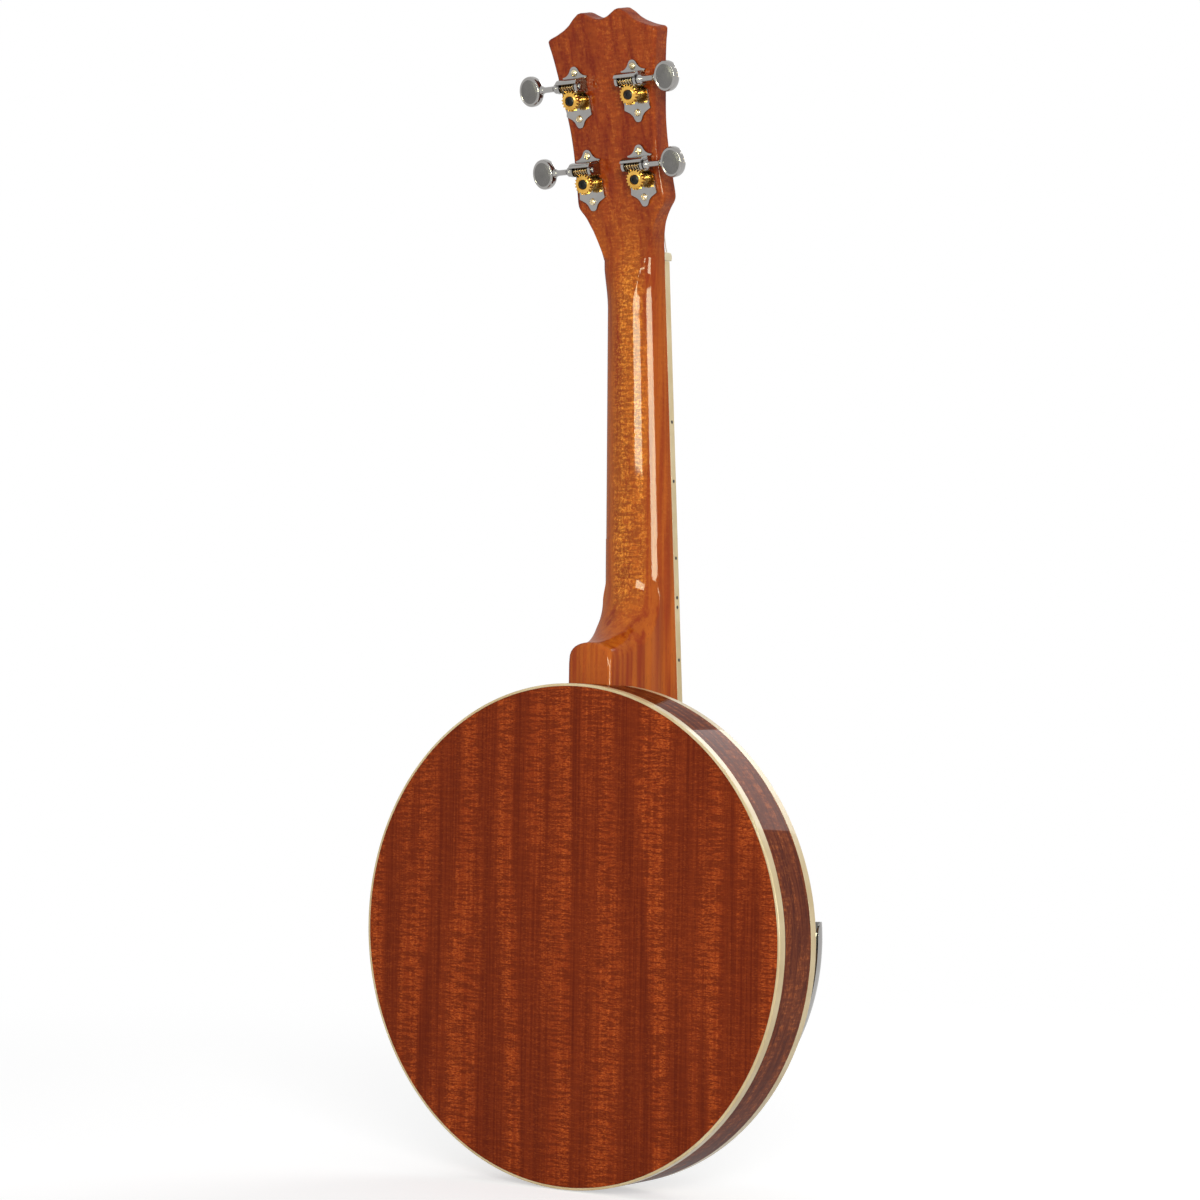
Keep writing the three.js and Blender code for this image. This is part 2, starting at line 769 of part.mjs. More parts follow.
// An arch that stands on the lowest height, with rounded top corners, at one height in front of the back.
function heelRing(halfWidth, lowest, top, arch, power, height) {
  const ring = [new THREE.Vector3(halfWidth, height, lowest)];
  for (let i = 0; i <= heelArchPoints; i += 1) {
    const angle = Math.PI * i / heelArchPoints;
    const x = Math.sign(Math.cos(angle)) * Math.abs(Math.cos(angle)) ** power;
    ring.push(new THREE.Vector3(halfWidth * x, height, top - arch + arch * Math.sin(angle) ** power));
  }
  ring.push(new THREE.Vector3(-halfWidth, height, lowest));
  return ring;
}

// The space inside the neck's end that the rim, its ledge, the hoop and the hooks need.
function potSpace() {
  const rim = rimRadius + seatGap;
  const ledge = rimRadius + rimLedge + seatGap;
  const hoop = hoopOuter + seatGap;
  const hoopFrom = fleshHoopBack - seatGap;
  const front = headPlane + neckDepthAtHeel;
  return spindle([
    [0, -cutOverrun],
    [rim, -cutOverrun],
    [rim, ledgeBack - seatGap],
    [ledge, ledgeBack - seatGap],
    [ledge, ledgeFront + seatGap],
    [rim, ledgeFront + seatGap],
    [rim, hoopFrom],
    [hoop, hoopFrom],
    [hoop, front],
    [0, front],
  ], ringSegments);
}

function makeFretboard() {
  const outline = (distance) => {
    const halfWidth = boardHalfWidth(distance);
    const corners = [
      [halfWidth, boardThickness],
      [-halfWidth, boardThickness],
      [-halfWidth, glueLine],
      [halfWidth, glueLine],
    ];
    return corners.map(([x, y]) => new THREE.Vector3(x, y, -distance));
  };
  const board = loft([outline(0), outline(boardLength)]);
  const frets = [];
  for (let number = 1; number <= fretCount; number += 1) {
    const distance = fretDistance(number);
    const halfWidth = boardHalfWidth(distance) - seatGap * 2;
    const bead = [
      [-fretWidth / 2, -fretHeight],
      [-fretWidth / 2, fretHeight / 3],
      [0, fretHeight],
      [fretWidth / 2, fretHeight / 3],
      [fretWidth / 2, -fretHeight],
    ];
    const points = (x) => bead.map(([z, y]) => new THREE.Vector3(x, boardThickness + y, z - distance));
    frets.push(loft([points(-halfWidth), points(halfWidth)]));
  }
  addPiece(neckFrame, 'fretboard', join(board, ...frets), wood.board());
}

// Strings: places that the nut, the bridge, the tailpiece and the posts share

const stringOffset = (order) => (tunerPlaces.length - 1) / 2 - order;
const boardRise = (z) => boardThickness / Math.cos(neckTilt) + (nutAbovePot - z) * Math.tan(neckTilt);
const bridgePlace = nutAbovePot - scaleLength * Math.cos(neckTilt);
const stringAtBridge = (order) => new THREE.Vector3(
  stringOffset(order) * stringSpreadAtBridge,
  gluePlaneAtNut + boardRise(bridgePlace) + stringOverBoardAtBridge,
  bridgePlace,
);
const stringAtNut = (order) => inNeck(
  stringOffset(order) * stringSpreadAtNut,
  boardThickness + stringOverBoardAtNut,
  nutThickness / 2,
);
const tailpieceBack = headPlane + tailpieceOverHead;
const tailpieceFront = tailpieceBack + tailpieceThickness;
const tailBoltCircle = hoopOuter + seatGap * 2 + tailpieceThickness + tailBoltRadius * 2;
const tailpieceTip = hoopOuter - tailpieceReach;
const stringAtTail = (order) => new THREE.Vector3(
  stringOffset(order) * stringSpreadAtBridge,
  tailpieceFront + seatGap + stringRadius,
  -tailpieceTip,
);
const windingRadius = postRadius + seatGap + stringRadius;
const windingStart = headstockThickness + bushingFlangeHeight + seatGap * 2 + stringRadius;
const windingEnd = windingStart + windingPitch * windingLoops;
const stringOnPost = windingEnd + windingPitch;

function makeNut() {
  const halfWidth = boardHalfWidthAtNut;
  const nut = block([-halfWidth, glueLine, glueLine], [halfWidth, nutTop, nutThickness]);
  const slots = tunerPlaces.map(({ stringOrder }) => {
    const x = stringOffset(stringOrder) * stringSpreadAtNut;
    const halfSlot = stringRadius + seatGap;
    const floor = boardThickness + stringOverBoardAtNut - stringRadius * 2 - seatGap;
    const low = [x - halfSlot, floor, -cutOverrun];
    return block(low, [x + halfSlot, nutTop + cutOverrun, nutThickness + cutOverrun]);
  });
  addPiece(neckFrame, 'nut', carve(nut, ...slots), bone());
}

// Shares of the bridge's half width and height: three feet with arches between them.
const bridgeShares = [
  [0, 0], [0.2, 0], [0.26, 0.34], [0.46, 0.44], [0.66, 0.34], [0.72, 0], [1, 0], [0.98, 0.22], [0.82, 1],
];

function makeBridge() {
  const foot = headPlane + seatGap;
  const top = stringAtBridge(0).y + stringRadius + bridgeCapOverString;
  const height = top - foot;
  const half = bridgeShares.map(([x, y]) => [x * bridgeHalfWidth, foot + y * height]);
  const left = half.filter(([x]) => x > 0).map(([x, y]) => [-x, y]).reverse();
  const body = prism([...half, ...left], -bridgeThickness / 2, bridgeThickness / 2);
  const slots = tunerPlaces.map(({ stringOrder }) => {
    const at = stringAtBridge(stringOrder);
    const halfSlot = stringRadius + glueLine;
    const low = [at.x - halfSlot, at.y - stringRadius * 2, at.z - bridgeThickness];
    return block(low, [at.x + halfSlot, at.y + bridgeThickness, at.z + bridgeThickness]);
  });
  addPiece(pot, 'bridge', carve(body.translate(0, 0, bridgePlace), ...slots), wood.maple());
}

function makeTailpiece() {
  const legInside = hoopOuter + seatGap * 2;
  const legOutside = legInside + tailpieceThickness;
  const shoulder = hoopInner - tailpieceReach / 3;
  const outline = mirrored([
    [0, -tailpieceTip],
    [tailpieceHalfWidth, -tailpieceTip],
    [tailpieceHalfWidth * 0.9, -tailpieceTip - tailpieceReach / 3],
    [tailpieceNeckHalfWidth, -shoulder],
    [tailpieceNeckHalfWidth, -legOutside],
    [0, -legOutside],
  ]);
  const plate = slab(outline, tailpieceBack, tailpieceFront);
  const footBack = hoopBack - tailpieceFoot;
  const leg = block(
    [-tailpieceNeckHalfWidth, footBack, -legOutside],
    [tailpieceNeckHalfWidth, tailpieceFront, -legInside],
  );
  const footEnd = tailBoltCircle + tailBoltRadius * 2;
  const foot = block(
    [-tailpieceNeckHalfWidth, footBack, -footEnd],
    [tailpieceNeckHalfWidth, footBack + tailpieceThickness, -legInside],
  );
  const boltHole = bar(tailBoltRadius + seatGap, footBack - cutOverrun, footBack + cutOverrun, smallSegments);
  addPiece(pot, 'tailpiece', carve(join(plate, leg, foot), boltHole.translate(0, 0, -tailBoltCircle)), nickel());

  const headBack = footBack + tailpieceThickness + seatGap;
  const nutFront = flangeBack - seatGap;
  const bolt = join(
    bar(tailBoltRadius, flangeBack - hookTail, headBack + nutHexHeight / 2, smallSegments),
    bar(nutHexRadius * boltHeadShare, headBack, headBack + nutHexHeight * boltHeadShare, hexSides),
    bar(nutHexRadius, nutFront - nutHexHeight, nutFront, hexSides),
  );
  addPiece(pot, 'tailpiece_bolt', bolt.translate(0, 0, -tailBoltCircle), nickel());
}

function makeStrings() {
  tunerPlaces.forEach(({ side, height, across, stringOrder }, place) => {
    const post = inHeadstock(side * (across - windingRadius), stringOnPost, height);
    const tail = stringAtTail(stringOrder);
    const end = tail.clone().add(new THREE.Vector3(0, 0, -tailpieceReach / 3));
    const route = [end, tail, stringAtBridge(stringOrder), stringAtNut(stringOrder), post];
    addPiece(pot, `string_${place + 1}`, tubeThrough(route, stringRadius, stringSides), nylon());
  });
}

// Armrest

function makeArmrest() {
  const top = headPlane + armrestTopOverHead;
  const section = [
    [armrestInnerRadius, top - armrestInnerDrop],
    [armrestTopRadius, top],
    ...armrestShoulderShares.map(([out, drop]) => (
      [armrestTopRadius + (armrestOuterRadius - armrestTopRadius) * out, top - armrestOuterDrop * drop]
    )),
    [armrestOuterRadius, top - armrestOuterDrop],
  ];
  const under = section.map(([radius, height]) => [radius - armrestThickness / 2, height - armrestThickness]);
  under.reverse();
  const loop = [...section, ...under];
  const rings = [];
  for (let step = 0; step <= armrestSteps; step += 1) {
    const angle = armrestStart + (armrestEnd - armrestStart) * step / armrestSteps;
    rings.push(loop.map(([radius, height]) => (
      new THREE.Vector3(radius * Math.sin(angle), height, radius * Math.cos(angle))
    )));
  }
  const legOuter = armrestOuterRadius - armrestThickness;
  const legs = armrestLegAngles.map((angle) => {
    const low = [-armrestLegHalfWidth, flangeFront + seatGap, legOuter - armrestThickness * 2];
    const high = [armrestLegHalfWidth, top - armrestOuterDrop / 2, legOuter];
    return block(low, high).rotateY(angle);
  });
  addPiece(pot, 'armrest', join(loft(rings), ...legs), nickel());
}

// Tuners

// Shares of the plate's half width and of its height above or below the gear.
const plateAboveShares = [
  [0.92, 0.1], [0.64, 0.17], [0.64, 0.58], [1, 0.68], [0.66, 0.73], [0.34, 0.86], [0.22, 0.97], [0, 1],
];
const plateBelowShares = [[0, 1], [0.17, 0.985], [0.27, 0.88], [0.5, 0.7], [1, 0.55], [0.93, 0.4]];

function plateOutline() {
  const below = plateBelowShares.map(([x, z]) => [x * plateHalfWidth, -z * plateBelow]);
  const above = plateAboveShares.map(([x, z]) => [x * plateHalfWidth, z * plateAbove]);
  return mirrored([...below, ...above]);
}

function makeTunerPlate() {
  const back = -seatGap - plateThickness;
  const sheet = slab(plateOutline(), back, -seatGap);
  const parts = [sheet];
  for (const x of [-earInside - earThickness / 2, earInside + earThickness / 2]) {
    const low = x - earThickness / 2;
    const high = x + earThickness / 2;
    const earCorner = [low, -wormHeight, wormToGear - earHalfWidth];
    const stem = block(earCorner, [high, -seatGap, wormToGear + earHalfWidth]);
    const crown = crossBar(earHalfWidth, low, high).translate(0, -wormHeight, wormToGear);
    parts.push(stem, crown);
  }
  const wallInside = wormToGear + wormCrestRadius + seatGap;
  parts.push(block(
    [-earOutside, -wormHeight, wallInside],
    [earOutside, -seatGap, wallInside + earLip],
  ));
  for (const height of [plateScrewAbove, -plateScrewBelow]) {
    const dome = spindle([
      ...plateScrewShares.map(([radius, rise]) => [radius * plateScrewRadius, back - rise * plateScrewDome]),
      [plateScrewRadius, -seatGap - plateThickness / 2],
      [0, -seatGap - plateThickness / 2],
    ], smallSegments);
    parts.push(dome.translate(0, 0, height));
  }
  const tools = [bar(postBoreRadius, back - cutOverrun, cutOverrun)];
  const bearing = crossBar(journalRadius + seatGap, -earOutside - cutOverrun, earOutside + cutOverrun);
  tools.push(bearing.translate(0, -wormHeight, wormToGear));
  return carve(join(...parts), ...tools);
}

function makeGear() {
  const outline = [];
  for (let tooth = 0; tooth < gearTeeth; tooth += 1) {
    const middle = 2 * Math.PI * tooth / gearTeeth;
    const corners = [
      [gearRootRadius, -gearToothRoot],
      [gearTipRadius, -gearToothTip],
      [gearTipRadius, gearToothTip],
      [gearRootRadius, gearToothRoot],
    ];
    for (const [radius, width] of corners) {
      const angle = middle + width / 2 / radius;
      outline.push([radius * Math.sin(angle), radius * Math.cos(angle)]);
    }
  }
  const wheel = slab(outline, -gearTop, -gearBottom);
  const hubFront = -seatGap - plateThickness - seatGap;
  const hub = bar(gearHubRadius, -wormHeight, hubFront);
  const bore = bar(postNeckRadius + seatGap / 2, -gearTop - cutOverrun, cutOverrun);
  const recess = bar(postScrewRadius + seatGap, -gearTop - cutOverrun, -gearTop + gearRecessDepth);
  return carve(join(wheel, hub), bore, recess);
}

// A closed worm along X. Its thread is a strip of four points per step, wound from one flat end to the
// other, and at angle zero, which faces the gear, a gap of the thread lies at its middle.
function makeWorm() {
  const rows = wormTurns * wormSteps;
  const start = -wormLength / 2;
  const flank = (wormRootWidth - wormCrestWidth) / 2;
  const positions = [];
  const index = [];
  const put = (x, radius, angle) => {
    positions.push(x, radius * Math.sin(angle), -radius * Math.cos(angle));
    return positions.length / 3 - 1;
  };
  const strip = (p, q, steps) => {
    for (let i = 0; i < steps; i += 1) {
      index.push(p(i), p(i + 1), q(i + 1), p(i), q(i + 1), q(i));
    }
  };
  const thread = [];
  for (let row = 0; row <= rows; row += 1) {
    const angle = 2 * Math.PI * row / wormSteps;
    const x = start + wormPitch * row / wormSteps;
    thread.push([
      put(x, wormRootRadius, angle),
      put(x + flank, wormCrestRadius, angle),
      put(x + flank + wormCrestWidth, wormCrestRadius, angle),
      put(x + wormRootWidth, wormRootRadius, angle),
    ]);
  }
  for (let edge = 0; edge < 3; edge += 1) strip((i) => thread[i][edge], (i) => thread[i][edge + 1], rows);
  strip((i) => thread[i][3], (i) => thread[i + wormSteps][0], rows - wormSteps);

  const ends = [-1, 1].map((side) => {
    const x = side * (wormLength / 2 + seatGap);
    const ring = [];
    for (let i = 0; i < wormSteps; i += 1) ring.push(put(x, wormRootRadius, 2 * Math.PI * i / wormSteps));
    return { ring, centre: put(x, 0, 0) };
  });
  const [first, last] = ends;
  const lastRow = rows - wormSteps;
  const near = (i) => first.ring[i % wormSteps];
  const far = (i) => last.ring[i % wormSteps];
  strip(near, (i) => thread[i][0], wormSteps - 1);
  const before = near(wormSteps - 1);
  const [a, b, c, d] = thread[0];
  index.push(before, near(0), a, before, a, d, before, d, thread[wormSteps][0]);
  index.push(before, thread[wormSteps][0], thread[wormSteps - 1][0]);
  index.push(a, b, c, a, c, d);

  const [endA, endB, endC, endD] = thread[rows];
  strip((i) => thread[lastRow + 1 + i][3], (i) => far(i + 1), wormSteps - 1);
  index.push(far(1), far(0), endD, far(1), endD, endA, far(1), endA, thread[lastRow][3]);
  index.push(thread[lastRow][3], thread[lastRow + 1][3], far(1));
  index.push(endD, endC, endB, endD, endB, endA);
  for (let i = 0; i < wormSteps; i += 1) {
    index.push(first.centre, near(i + 1), near(i));
    index.push(last.centre, far(i), far(i + 1));
  }
  const geometry = new THREE.BufferGeometry();
  geometry.setAttribute('position', new THREE.Float32BufferAttribute(positions, 3));
  geometry.setIndex(index);
  return geometry;
}

function makeWormShaft() {
  const worm = makeWorm();
  const collarStart = earOutside + seatGap;
  const shaftEnd = buttonReach - buttonHalfLength - seatGap;
  const shaft = spindle([
    [0, -earOutside - seatGap],
    [journalRadius, -earOutside - seatGap],
    [journalRadius, collarStart],
    [collarRadius, collarStart],
    [collarRadius, collarStart + collarLength],
    [shaftRadius, collarStart + collarLength + collarRadius - shaftRadius],
    [shaftRadius, shaftEnd],
    [0, shaftEnd],
  ]).rotateZ(-Math.PI / 2);
  return join(worm, shaft);
}

function makeButton() {
  const shape = new THREE.Shape();
  const flatSize = [buttonHalfLength - buttonEdge, buttonHalfHeight - buttonEdge];
  shape.absellipse(0, 0, ...flatSize, 0, 2 * Math.PI, false, 0);
  const body = new THREE.ExtrudeGeometry(shape, {
    depth: buttonThickness - buttonEdge * 2,
    bevelEnabled: true,
    bevelThickness: buttonEdge,
    bevelSize: buttonEdge,
    bevelSegments: 2,
    curveSegments: smallSegments,
  });
  body.translate(0, 0, buttonEdge - buttonThickness / 2).rotateX(Math.PI / 2);
  return body.translate(buttonReach, 0, 0);
}

function makePost() {
  const screwBack = -gearTop - seatGap / 2;
  const screwFront = -gearTop + gearRecessDepth - seatGap;
  const shoulder = -seatGap - plateThickness;
  const top = headstockThickness + postStandsProud;
  const post = spindle([
    [0, screwBack],
    [postScrewRadius, screwBack],
    [postScrewRadius, screwFront],
    [postNeckRadius, screwFront],
    [postNeckRadius, shoulder],
    [postRadius, shoulder],
    [postRadius, top - postRadius / 3],
    [postNeckRadius, top],
    [0, top],
  ]);
  const hole = crossBar(postHoleRadius, -postRadius - cutOverrun, postRadius + cutOverrun, smallSegments);
  return carve(post, hole.translate(0, (stringOnPost + top) / 2, 0));
}

function makeBushing() {
  const inner = postRadius + seatGap;
  const face = headstockThickness + seatGap / 2;
  return turned([
    [inner, headstockThickness - bushingSleeve],
    [bushingRadius, headstockThickness - bushingSleeve],
    [bushingRadius, face],
    [bushingFlange, face],
    [bushingFlange, face + bushingFlangeHeight],
    [inner, face + bushingFlangeHeight],
  ], roundSegments);
}

// A winding of unbroken loops about the post, whose last loop ends where the string arrives.
function windingPoint(share, side) {
  const angle = 2 * Math.PI * windingLoops * (share - 1);
  const across = -side * windingRadius * Math.cos(angle);
  const along = windingRadius * Math.sin(angle);
  return new THREE.Vector3(across, windingStart + (windingEnd - windingStart) * share, along);
}

function makeWinding(side) {
  return tube((share) => windingPoint(share, side), windingLoops * windingSteps, stringRadius, stringSides);
}

// The least gap between points of the winding that lie at least half a loop apart.
function windingGap() {
  const points = [];
  const count = windingLoops * windingSteps;
  for (let i = 0; i <= count; i += 1) points.push(windingPoint(i / count, 1));
  let least = Infinity;
  for (let i = 0; i <= count; i += 1) {
    for (let j = i + windingSteps / 2; j <= count; j += 1) {
      least = Math.min(least, points[i].distanceTo(points[j]));
    }
  }
  return least - stringRadius * 2;
}

function makeTuners() {
  for (const { name, side, height, across } of tunerPlaces) {
    const tuner = new THREE.Group();
    tuner.position.set(side * across, 0, height);
    headstockFrame.add(tuner);
    addPiece(tuner, `${name}_plate`, makeTunerPlate(), nickel());
    addPiece(tuner, `${name}_gear`, makeGear(), brass());
    addPiece(tuner, `${name}_post`, makePost(), nickel());
    addPiece(tuner, `${name}_bushing`, makeBushing(), nickel());
    addPiece(tuner, `${name}_winding`, makeWinding(side), nylon());
    const drive = new THREE.Group();
    drive.position.set(0, -wormHeight, wormToGear);
    drive.rotation.z = side > 0 ? 0 : Math.PI;
    tuner.add(drive);
    addPiece(drive, `${name}_worm`, makeWormShaft(), nickel());
    addPiece(drive, `${name}_button`, makeButton(), nickel());
  }
}

makeResonator();
makeRim();
makeHead();
makeTensionHoop();
makeHooks();
makeFlange();
makeCoordinatorRod();
makeNeck();
makeFretboard();
makeNut();
makeBridge();
makeTailpiece();
makeStrings();
makeArmrest();
makeTuners();

console.log(`least gap of a string winding to itself: ${windingGap().toFixed(2)} mm`);

export default banjoUkulele;
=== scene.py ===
import math

import bmesh
import bpy
from mathutils import Matrix, Vector


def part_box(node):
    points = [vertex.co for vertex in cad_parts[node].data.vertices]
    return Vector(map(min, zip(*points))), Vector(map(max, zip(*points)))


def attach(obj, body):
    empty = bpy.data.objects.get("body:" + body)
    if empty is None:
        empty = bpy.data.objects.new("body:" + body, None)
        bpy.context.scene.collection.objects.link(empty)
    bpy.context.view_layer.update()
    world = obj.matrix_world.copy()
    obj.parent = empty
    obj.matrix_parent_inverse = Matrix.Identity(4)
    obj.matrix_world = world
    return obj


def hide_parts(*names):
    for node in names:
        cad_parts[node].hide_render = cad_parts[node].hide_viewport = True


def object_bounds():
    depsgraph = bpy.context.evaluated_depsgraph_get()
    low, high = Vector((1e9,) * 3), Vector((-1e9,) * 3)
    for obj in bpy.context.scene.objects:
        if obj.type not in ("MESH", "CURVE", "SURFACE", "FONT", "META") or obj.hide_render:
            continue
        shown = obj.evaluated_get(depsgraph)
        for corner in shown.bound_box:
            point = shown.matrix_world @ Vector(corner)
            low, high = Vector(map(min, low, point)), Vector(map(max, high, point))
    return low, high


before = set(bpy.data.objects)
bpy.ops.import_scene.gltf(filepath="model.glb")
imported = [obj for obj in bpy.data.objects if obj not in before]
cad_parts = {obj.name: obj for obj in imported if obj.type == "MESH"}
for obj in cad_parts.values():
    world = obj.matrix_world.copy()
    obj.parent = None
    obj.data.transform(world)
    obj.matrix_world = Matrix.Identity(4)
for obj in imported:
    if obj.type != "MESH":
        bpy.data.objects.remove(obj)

cadLow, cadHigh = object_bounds()
print("scene: packed pieces loaded")

# Everything is modelled in millimetres about its own frame, then put in its place in metres.
mm = 0.001
toMetres = Matrix.Scale(mm, 4)
backLow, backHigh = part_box("resonator_back")
potFrame = Matrix.Translation((0, backLow.y, (backLow.z + backHigh.z) / 2)) @ toMetres

pot = {
    "outerRadius": 133.35,
    "depth": 35.5,
    "bindingThickness": 1.4,
    "backBinding": 5.2,
    "frontBinding": 5.3,
    "wall": 6,
    "backPlate": 4.6,
    "rimRadius": 101.6,
    "rimInner": 91.6,
    "rimBack": 14,
    "ledgeRadius": 105.6,
    "headPlane": 68.6,
    "hoopInner": 102.7,
    "hoopOuter": 105.9,
    "hoopBack": 61.9,
    "hoopFront": 70.3,
    "flangeBack": 35.8,
    "flangeFront": 37.8,
    "rodHeight": 27,
    "hookCircle": 107.7,
    "hookCount": 12,
    "roundSteps": 240,
}
neck = {
    "nutPlace": (0, 59.6006, 362.687),
    "tilt": math.radians(2.63),
    "boardLength": 256.06,
    "boardThickness": 5,
    "halfWidthAtNut": 17.2,
    "halfWidthAtEnd": 22.7,
    "depthAtNut": 13.4,
    "depthInHand": 14.1,
    "depthAtHeel": 16.8,
    "inHandShare": 0.1,
    "roundPower": 0.9,
    "cornerAtNut": 0.52,
}
heel = {
    "back": 18.4,
    "halfWidth": 14,
    "halfWidthAtNeck": 18.8,
    "widenDepth": 31.8,
    "top": 155.4,
    "rise": 46,
    "rampDepth": 38.9,
    "arch": 9.5,
    "archAtNeck": 22,
    "cornerPower": 0.8,
    "cornerPowerAtNeck": 1.2,
    "edgeRound": 2.6,
    "fillet": 7,
}
headstock = {
    "tilt": math.radians(13.4),
    "backBelowBoard": 10.7,
    "thickness": 11.7,
    "edgeRound": 2.2,
    "frontRound": 0.9,
}
strings = {
    "radius": 0.35,
    "spreadAtNut": 9.5,
    "spreadAtBridge": 13,
    "overBoardAtNut": 1.7,
    "overBoardAtBridge": 4.9,
    "scale": 381,
}

neckFrame = potFrame @ Matrix.Translation(neck["nutPlace"]) @ Matrix.Rotation(neck["tilt"], 4, "X")
headstockFrame = (
    potFrame
    @ Matrix.Translation(neck["nutPlace"])
    @ Matrix.Rotation(headstock["tilt"], 4, "X")
    @ Matrix.Translation((0, -headstock["backBelowBoard"], 0))
)


# Handling

def clearSelection():
    if bpy.context.object and bpy.context.object.mode != "OBJECT":
        bpy.ops.object.mode_set(mode="OBJECT")
    bpy.ops.object.select_all(action="DESELECT")


def pickOnly(piece):
    clearSelection()
    piece.select_set(True)
    bpy.context.view_layer.objects.active = piece


def nameIt(name):
    piece = bpy.context.object
    piece.name = name
    piece.data.name = name
    return piece


def openMesh(piece, kind="FACE"):
    pickOnly(piece)
    bpy.ops.object.mode_set(mode="EDIT")
    bpy.ops.mesh.select_mode(type=kind)
    bpy.ops.mesh.select_all(action="DESELECT")


def pickFaces(piece, test):
    shape = bmesh.from_edit_mesh(piece.data)
    for face in shape.faces:
        face.select_set(bool(test(face.calc_center_median(), face.normal)))
    bmesh.update_edit_mesh(piece.data)


def pickEdges(piece, test):
    shape = bmesh.from_edit_mesh(piece.data)
    for edge in shape.edges:
        edge.select_set(bool(test(edge.verts[0].co, edge.verts[1].co)))
    bmesh.update_edit_mesh(piece.data)


def sealMesh(piece, distance=0.001):
    openMesh(piece, "VERT")
    bpy.ops.mesh.select_all(action="SELECT")
    bpy.ops.mesh.remove_doubles(threshold=distance)
    bpy.ops.mesh.normals_make_consistent(inside=False)
    bpy.ops.object.mode_set(mode="OBJECT")


def traceLine(name, points, closed=False):
    clearSelection()
    bpy.ops.mesh.primitive_plane_add(size=1)
    piece = nameIt(name)
    openMesh(piece, "VERT")
    bpy.ops.mesh.select_all(action="SELECT")
    bpy.ops.mesh.merge(type="CENTER")
    bpy.ops.transform.translate(value=points[0])
    route = [Vector(point) for point in points]
    if closed:
        route.append(route[0].copy())
    for before, after in zip(route, route[1:]):
        bpy.ops.mesh.extrude_vertices_move(TRANSFORM_OT_translate={"value": after - before})
    bpy.ops.mesh.select_all(action="SELECT")
    if closed:
        bpy.ops.mesh.remove_doubles(threshold=0.0005)
    return piece


# A profile of (radius, height) turned about the Y axis.
def turnProfile(name, profile, steps=96, closed=True):
    piece = traceLine(name, [(radius, height, 0) for radius, height in profile], closed)
    bpy.ops.mesh.spin(steps=steps, angle=math.tau, center=(0, 0, 0), axis=(0, 1, 0))
    bpy.ops.object.mode_set(mode="OBJECT")
    sealMesh(piece)
    return piece


# An outline of (x, z) raised along Y.
def liftOutline(name, outline, low, high):
    piece = traceLine(name, [(x, low, z) for x, z in outline], True)
    bpy.ops.mesh.edge_face_add()
    bpy.ops.mesh.extrude_region_move(TRANSFORM_OT_translate={"value": (0, high - low, 0)})
    bpy.ops.object.mode_set(mode="OBJECT")
    sealMesh(piece)
    return piece


# A grid wrapped through rings of equal length, for shapes that no single turn or lift gives.
def wrapRings(name, rings, ends=True):
    rows, around = len(rings), len(rings[0])
    clearSelection()
    bpy.ops.mesh.primitive_grid_add(x_subdivisions=rows - 1, y_subdivisions=around, size=1)
    piece = nameIt(name)
    for vertex in piece.data.vertices:
        row = round((vertex.co.x + 0.5) * (rows - 1))
        place = round((vertex.co.y + 0.5) * around) % around
        vertex.co = rings[row][place]
    openMesh(piece, "VERT")
    bpy.ops.mesh.select_all(action="SELECT")
    bpy.ops.mesh.remove_doubles(threshold=0.0001)
    if ends:
        bpy.ops.mesh.select_all(action="DESELECT")
        bpy.ops.mesh.select_mode(type="EDGE")
        bpy.ops.mesh.select_non_manifold(extend=False, use_wire=False, use_multi_face=False, use_non_contiguous=False, use_verts=False)
        bpy.ops.mesh.edge_face_add()
    bpy.ops.object.mode_set(mode="OBJECT")
    sealMesh(piece, 0.0001)
    return piece


def makePipe(name, points, radius, sides=2):
    piece = traceLine(name, points)
    bpy.ops.object.mode_set(mode="OBJECT")
    bpy.ops.object.convert(target="CURVE")
    piece.data.bevel_depth = radius
    piece.data.bevel_resolution = sides
    piece.data.use_fill_caps = True
    bpy.ops.object.convert(target="MESH")
    piece = nameIt(name)
    sealMesh(piece, 0.0002)
    return piece


def addBar(name, radius, low, high, sides=32, axis="Y"):
    turn = {"Y": (math.pi / 2, 0, 0), "X": (0, math.pi / 2, 0), "Z": (0, 0, 0)}[axis]
    middle = (low + high) / 2
    place = {"Y": (0, middle, 0), "X": (middle, 0, 0), "Z": (0, 0, middle)}[axis]
    clearSelection()
    bpy.ops.mesh.primitive_cylinder_add(vertices=sides, radius=radius, depth=high - low, location=place, rotation=turn)
    piece = nameIt(name)
    bpy.ops.object.transform_apply(location=True, rotation=True, scale=True)
    return piece


def addBlock(name, low, high):
    clearSelection()
    bpy.ops.mesh.primitive_cube_add(size=1, location=[(a + b) / 2 for a, b in zip(low, high)])
    piece = nameIt(name)
    piece.scale = [b - a for a, b in zip(low, high)]
    bpy.ops.object.transform_apply(location=True, rotation=True, scale=True)
    return piece


def applyLast(piece):
    pickOnly(piece)
    bpy.ops.object.modifier_apply(modifier=piece.modifiers[-1].name)


def roundEdges(piece, width, segments=3, over=30):
    bevel = piece.modifiers.new("rounding", "BEVEL")
    bevel.width = width
    bevel.segments = segments
    bevel.limit_method = "ANGLE"
    bevel.angle_limit = math.radians(over)
    applyLast(piece)


def carve(piece, *tools, keep=False, how="DIFFERENCE"):
    for tool in tools:
        cut = piece.modifiers.new("cut", "BOOLEAN")
        cut.operation = how
        cut.solver = "EXACT"
        cut.object = tool
        applyLast(piece)
        if not keep:
            bpy.data.objects.remove(tool, do_unlink=True)


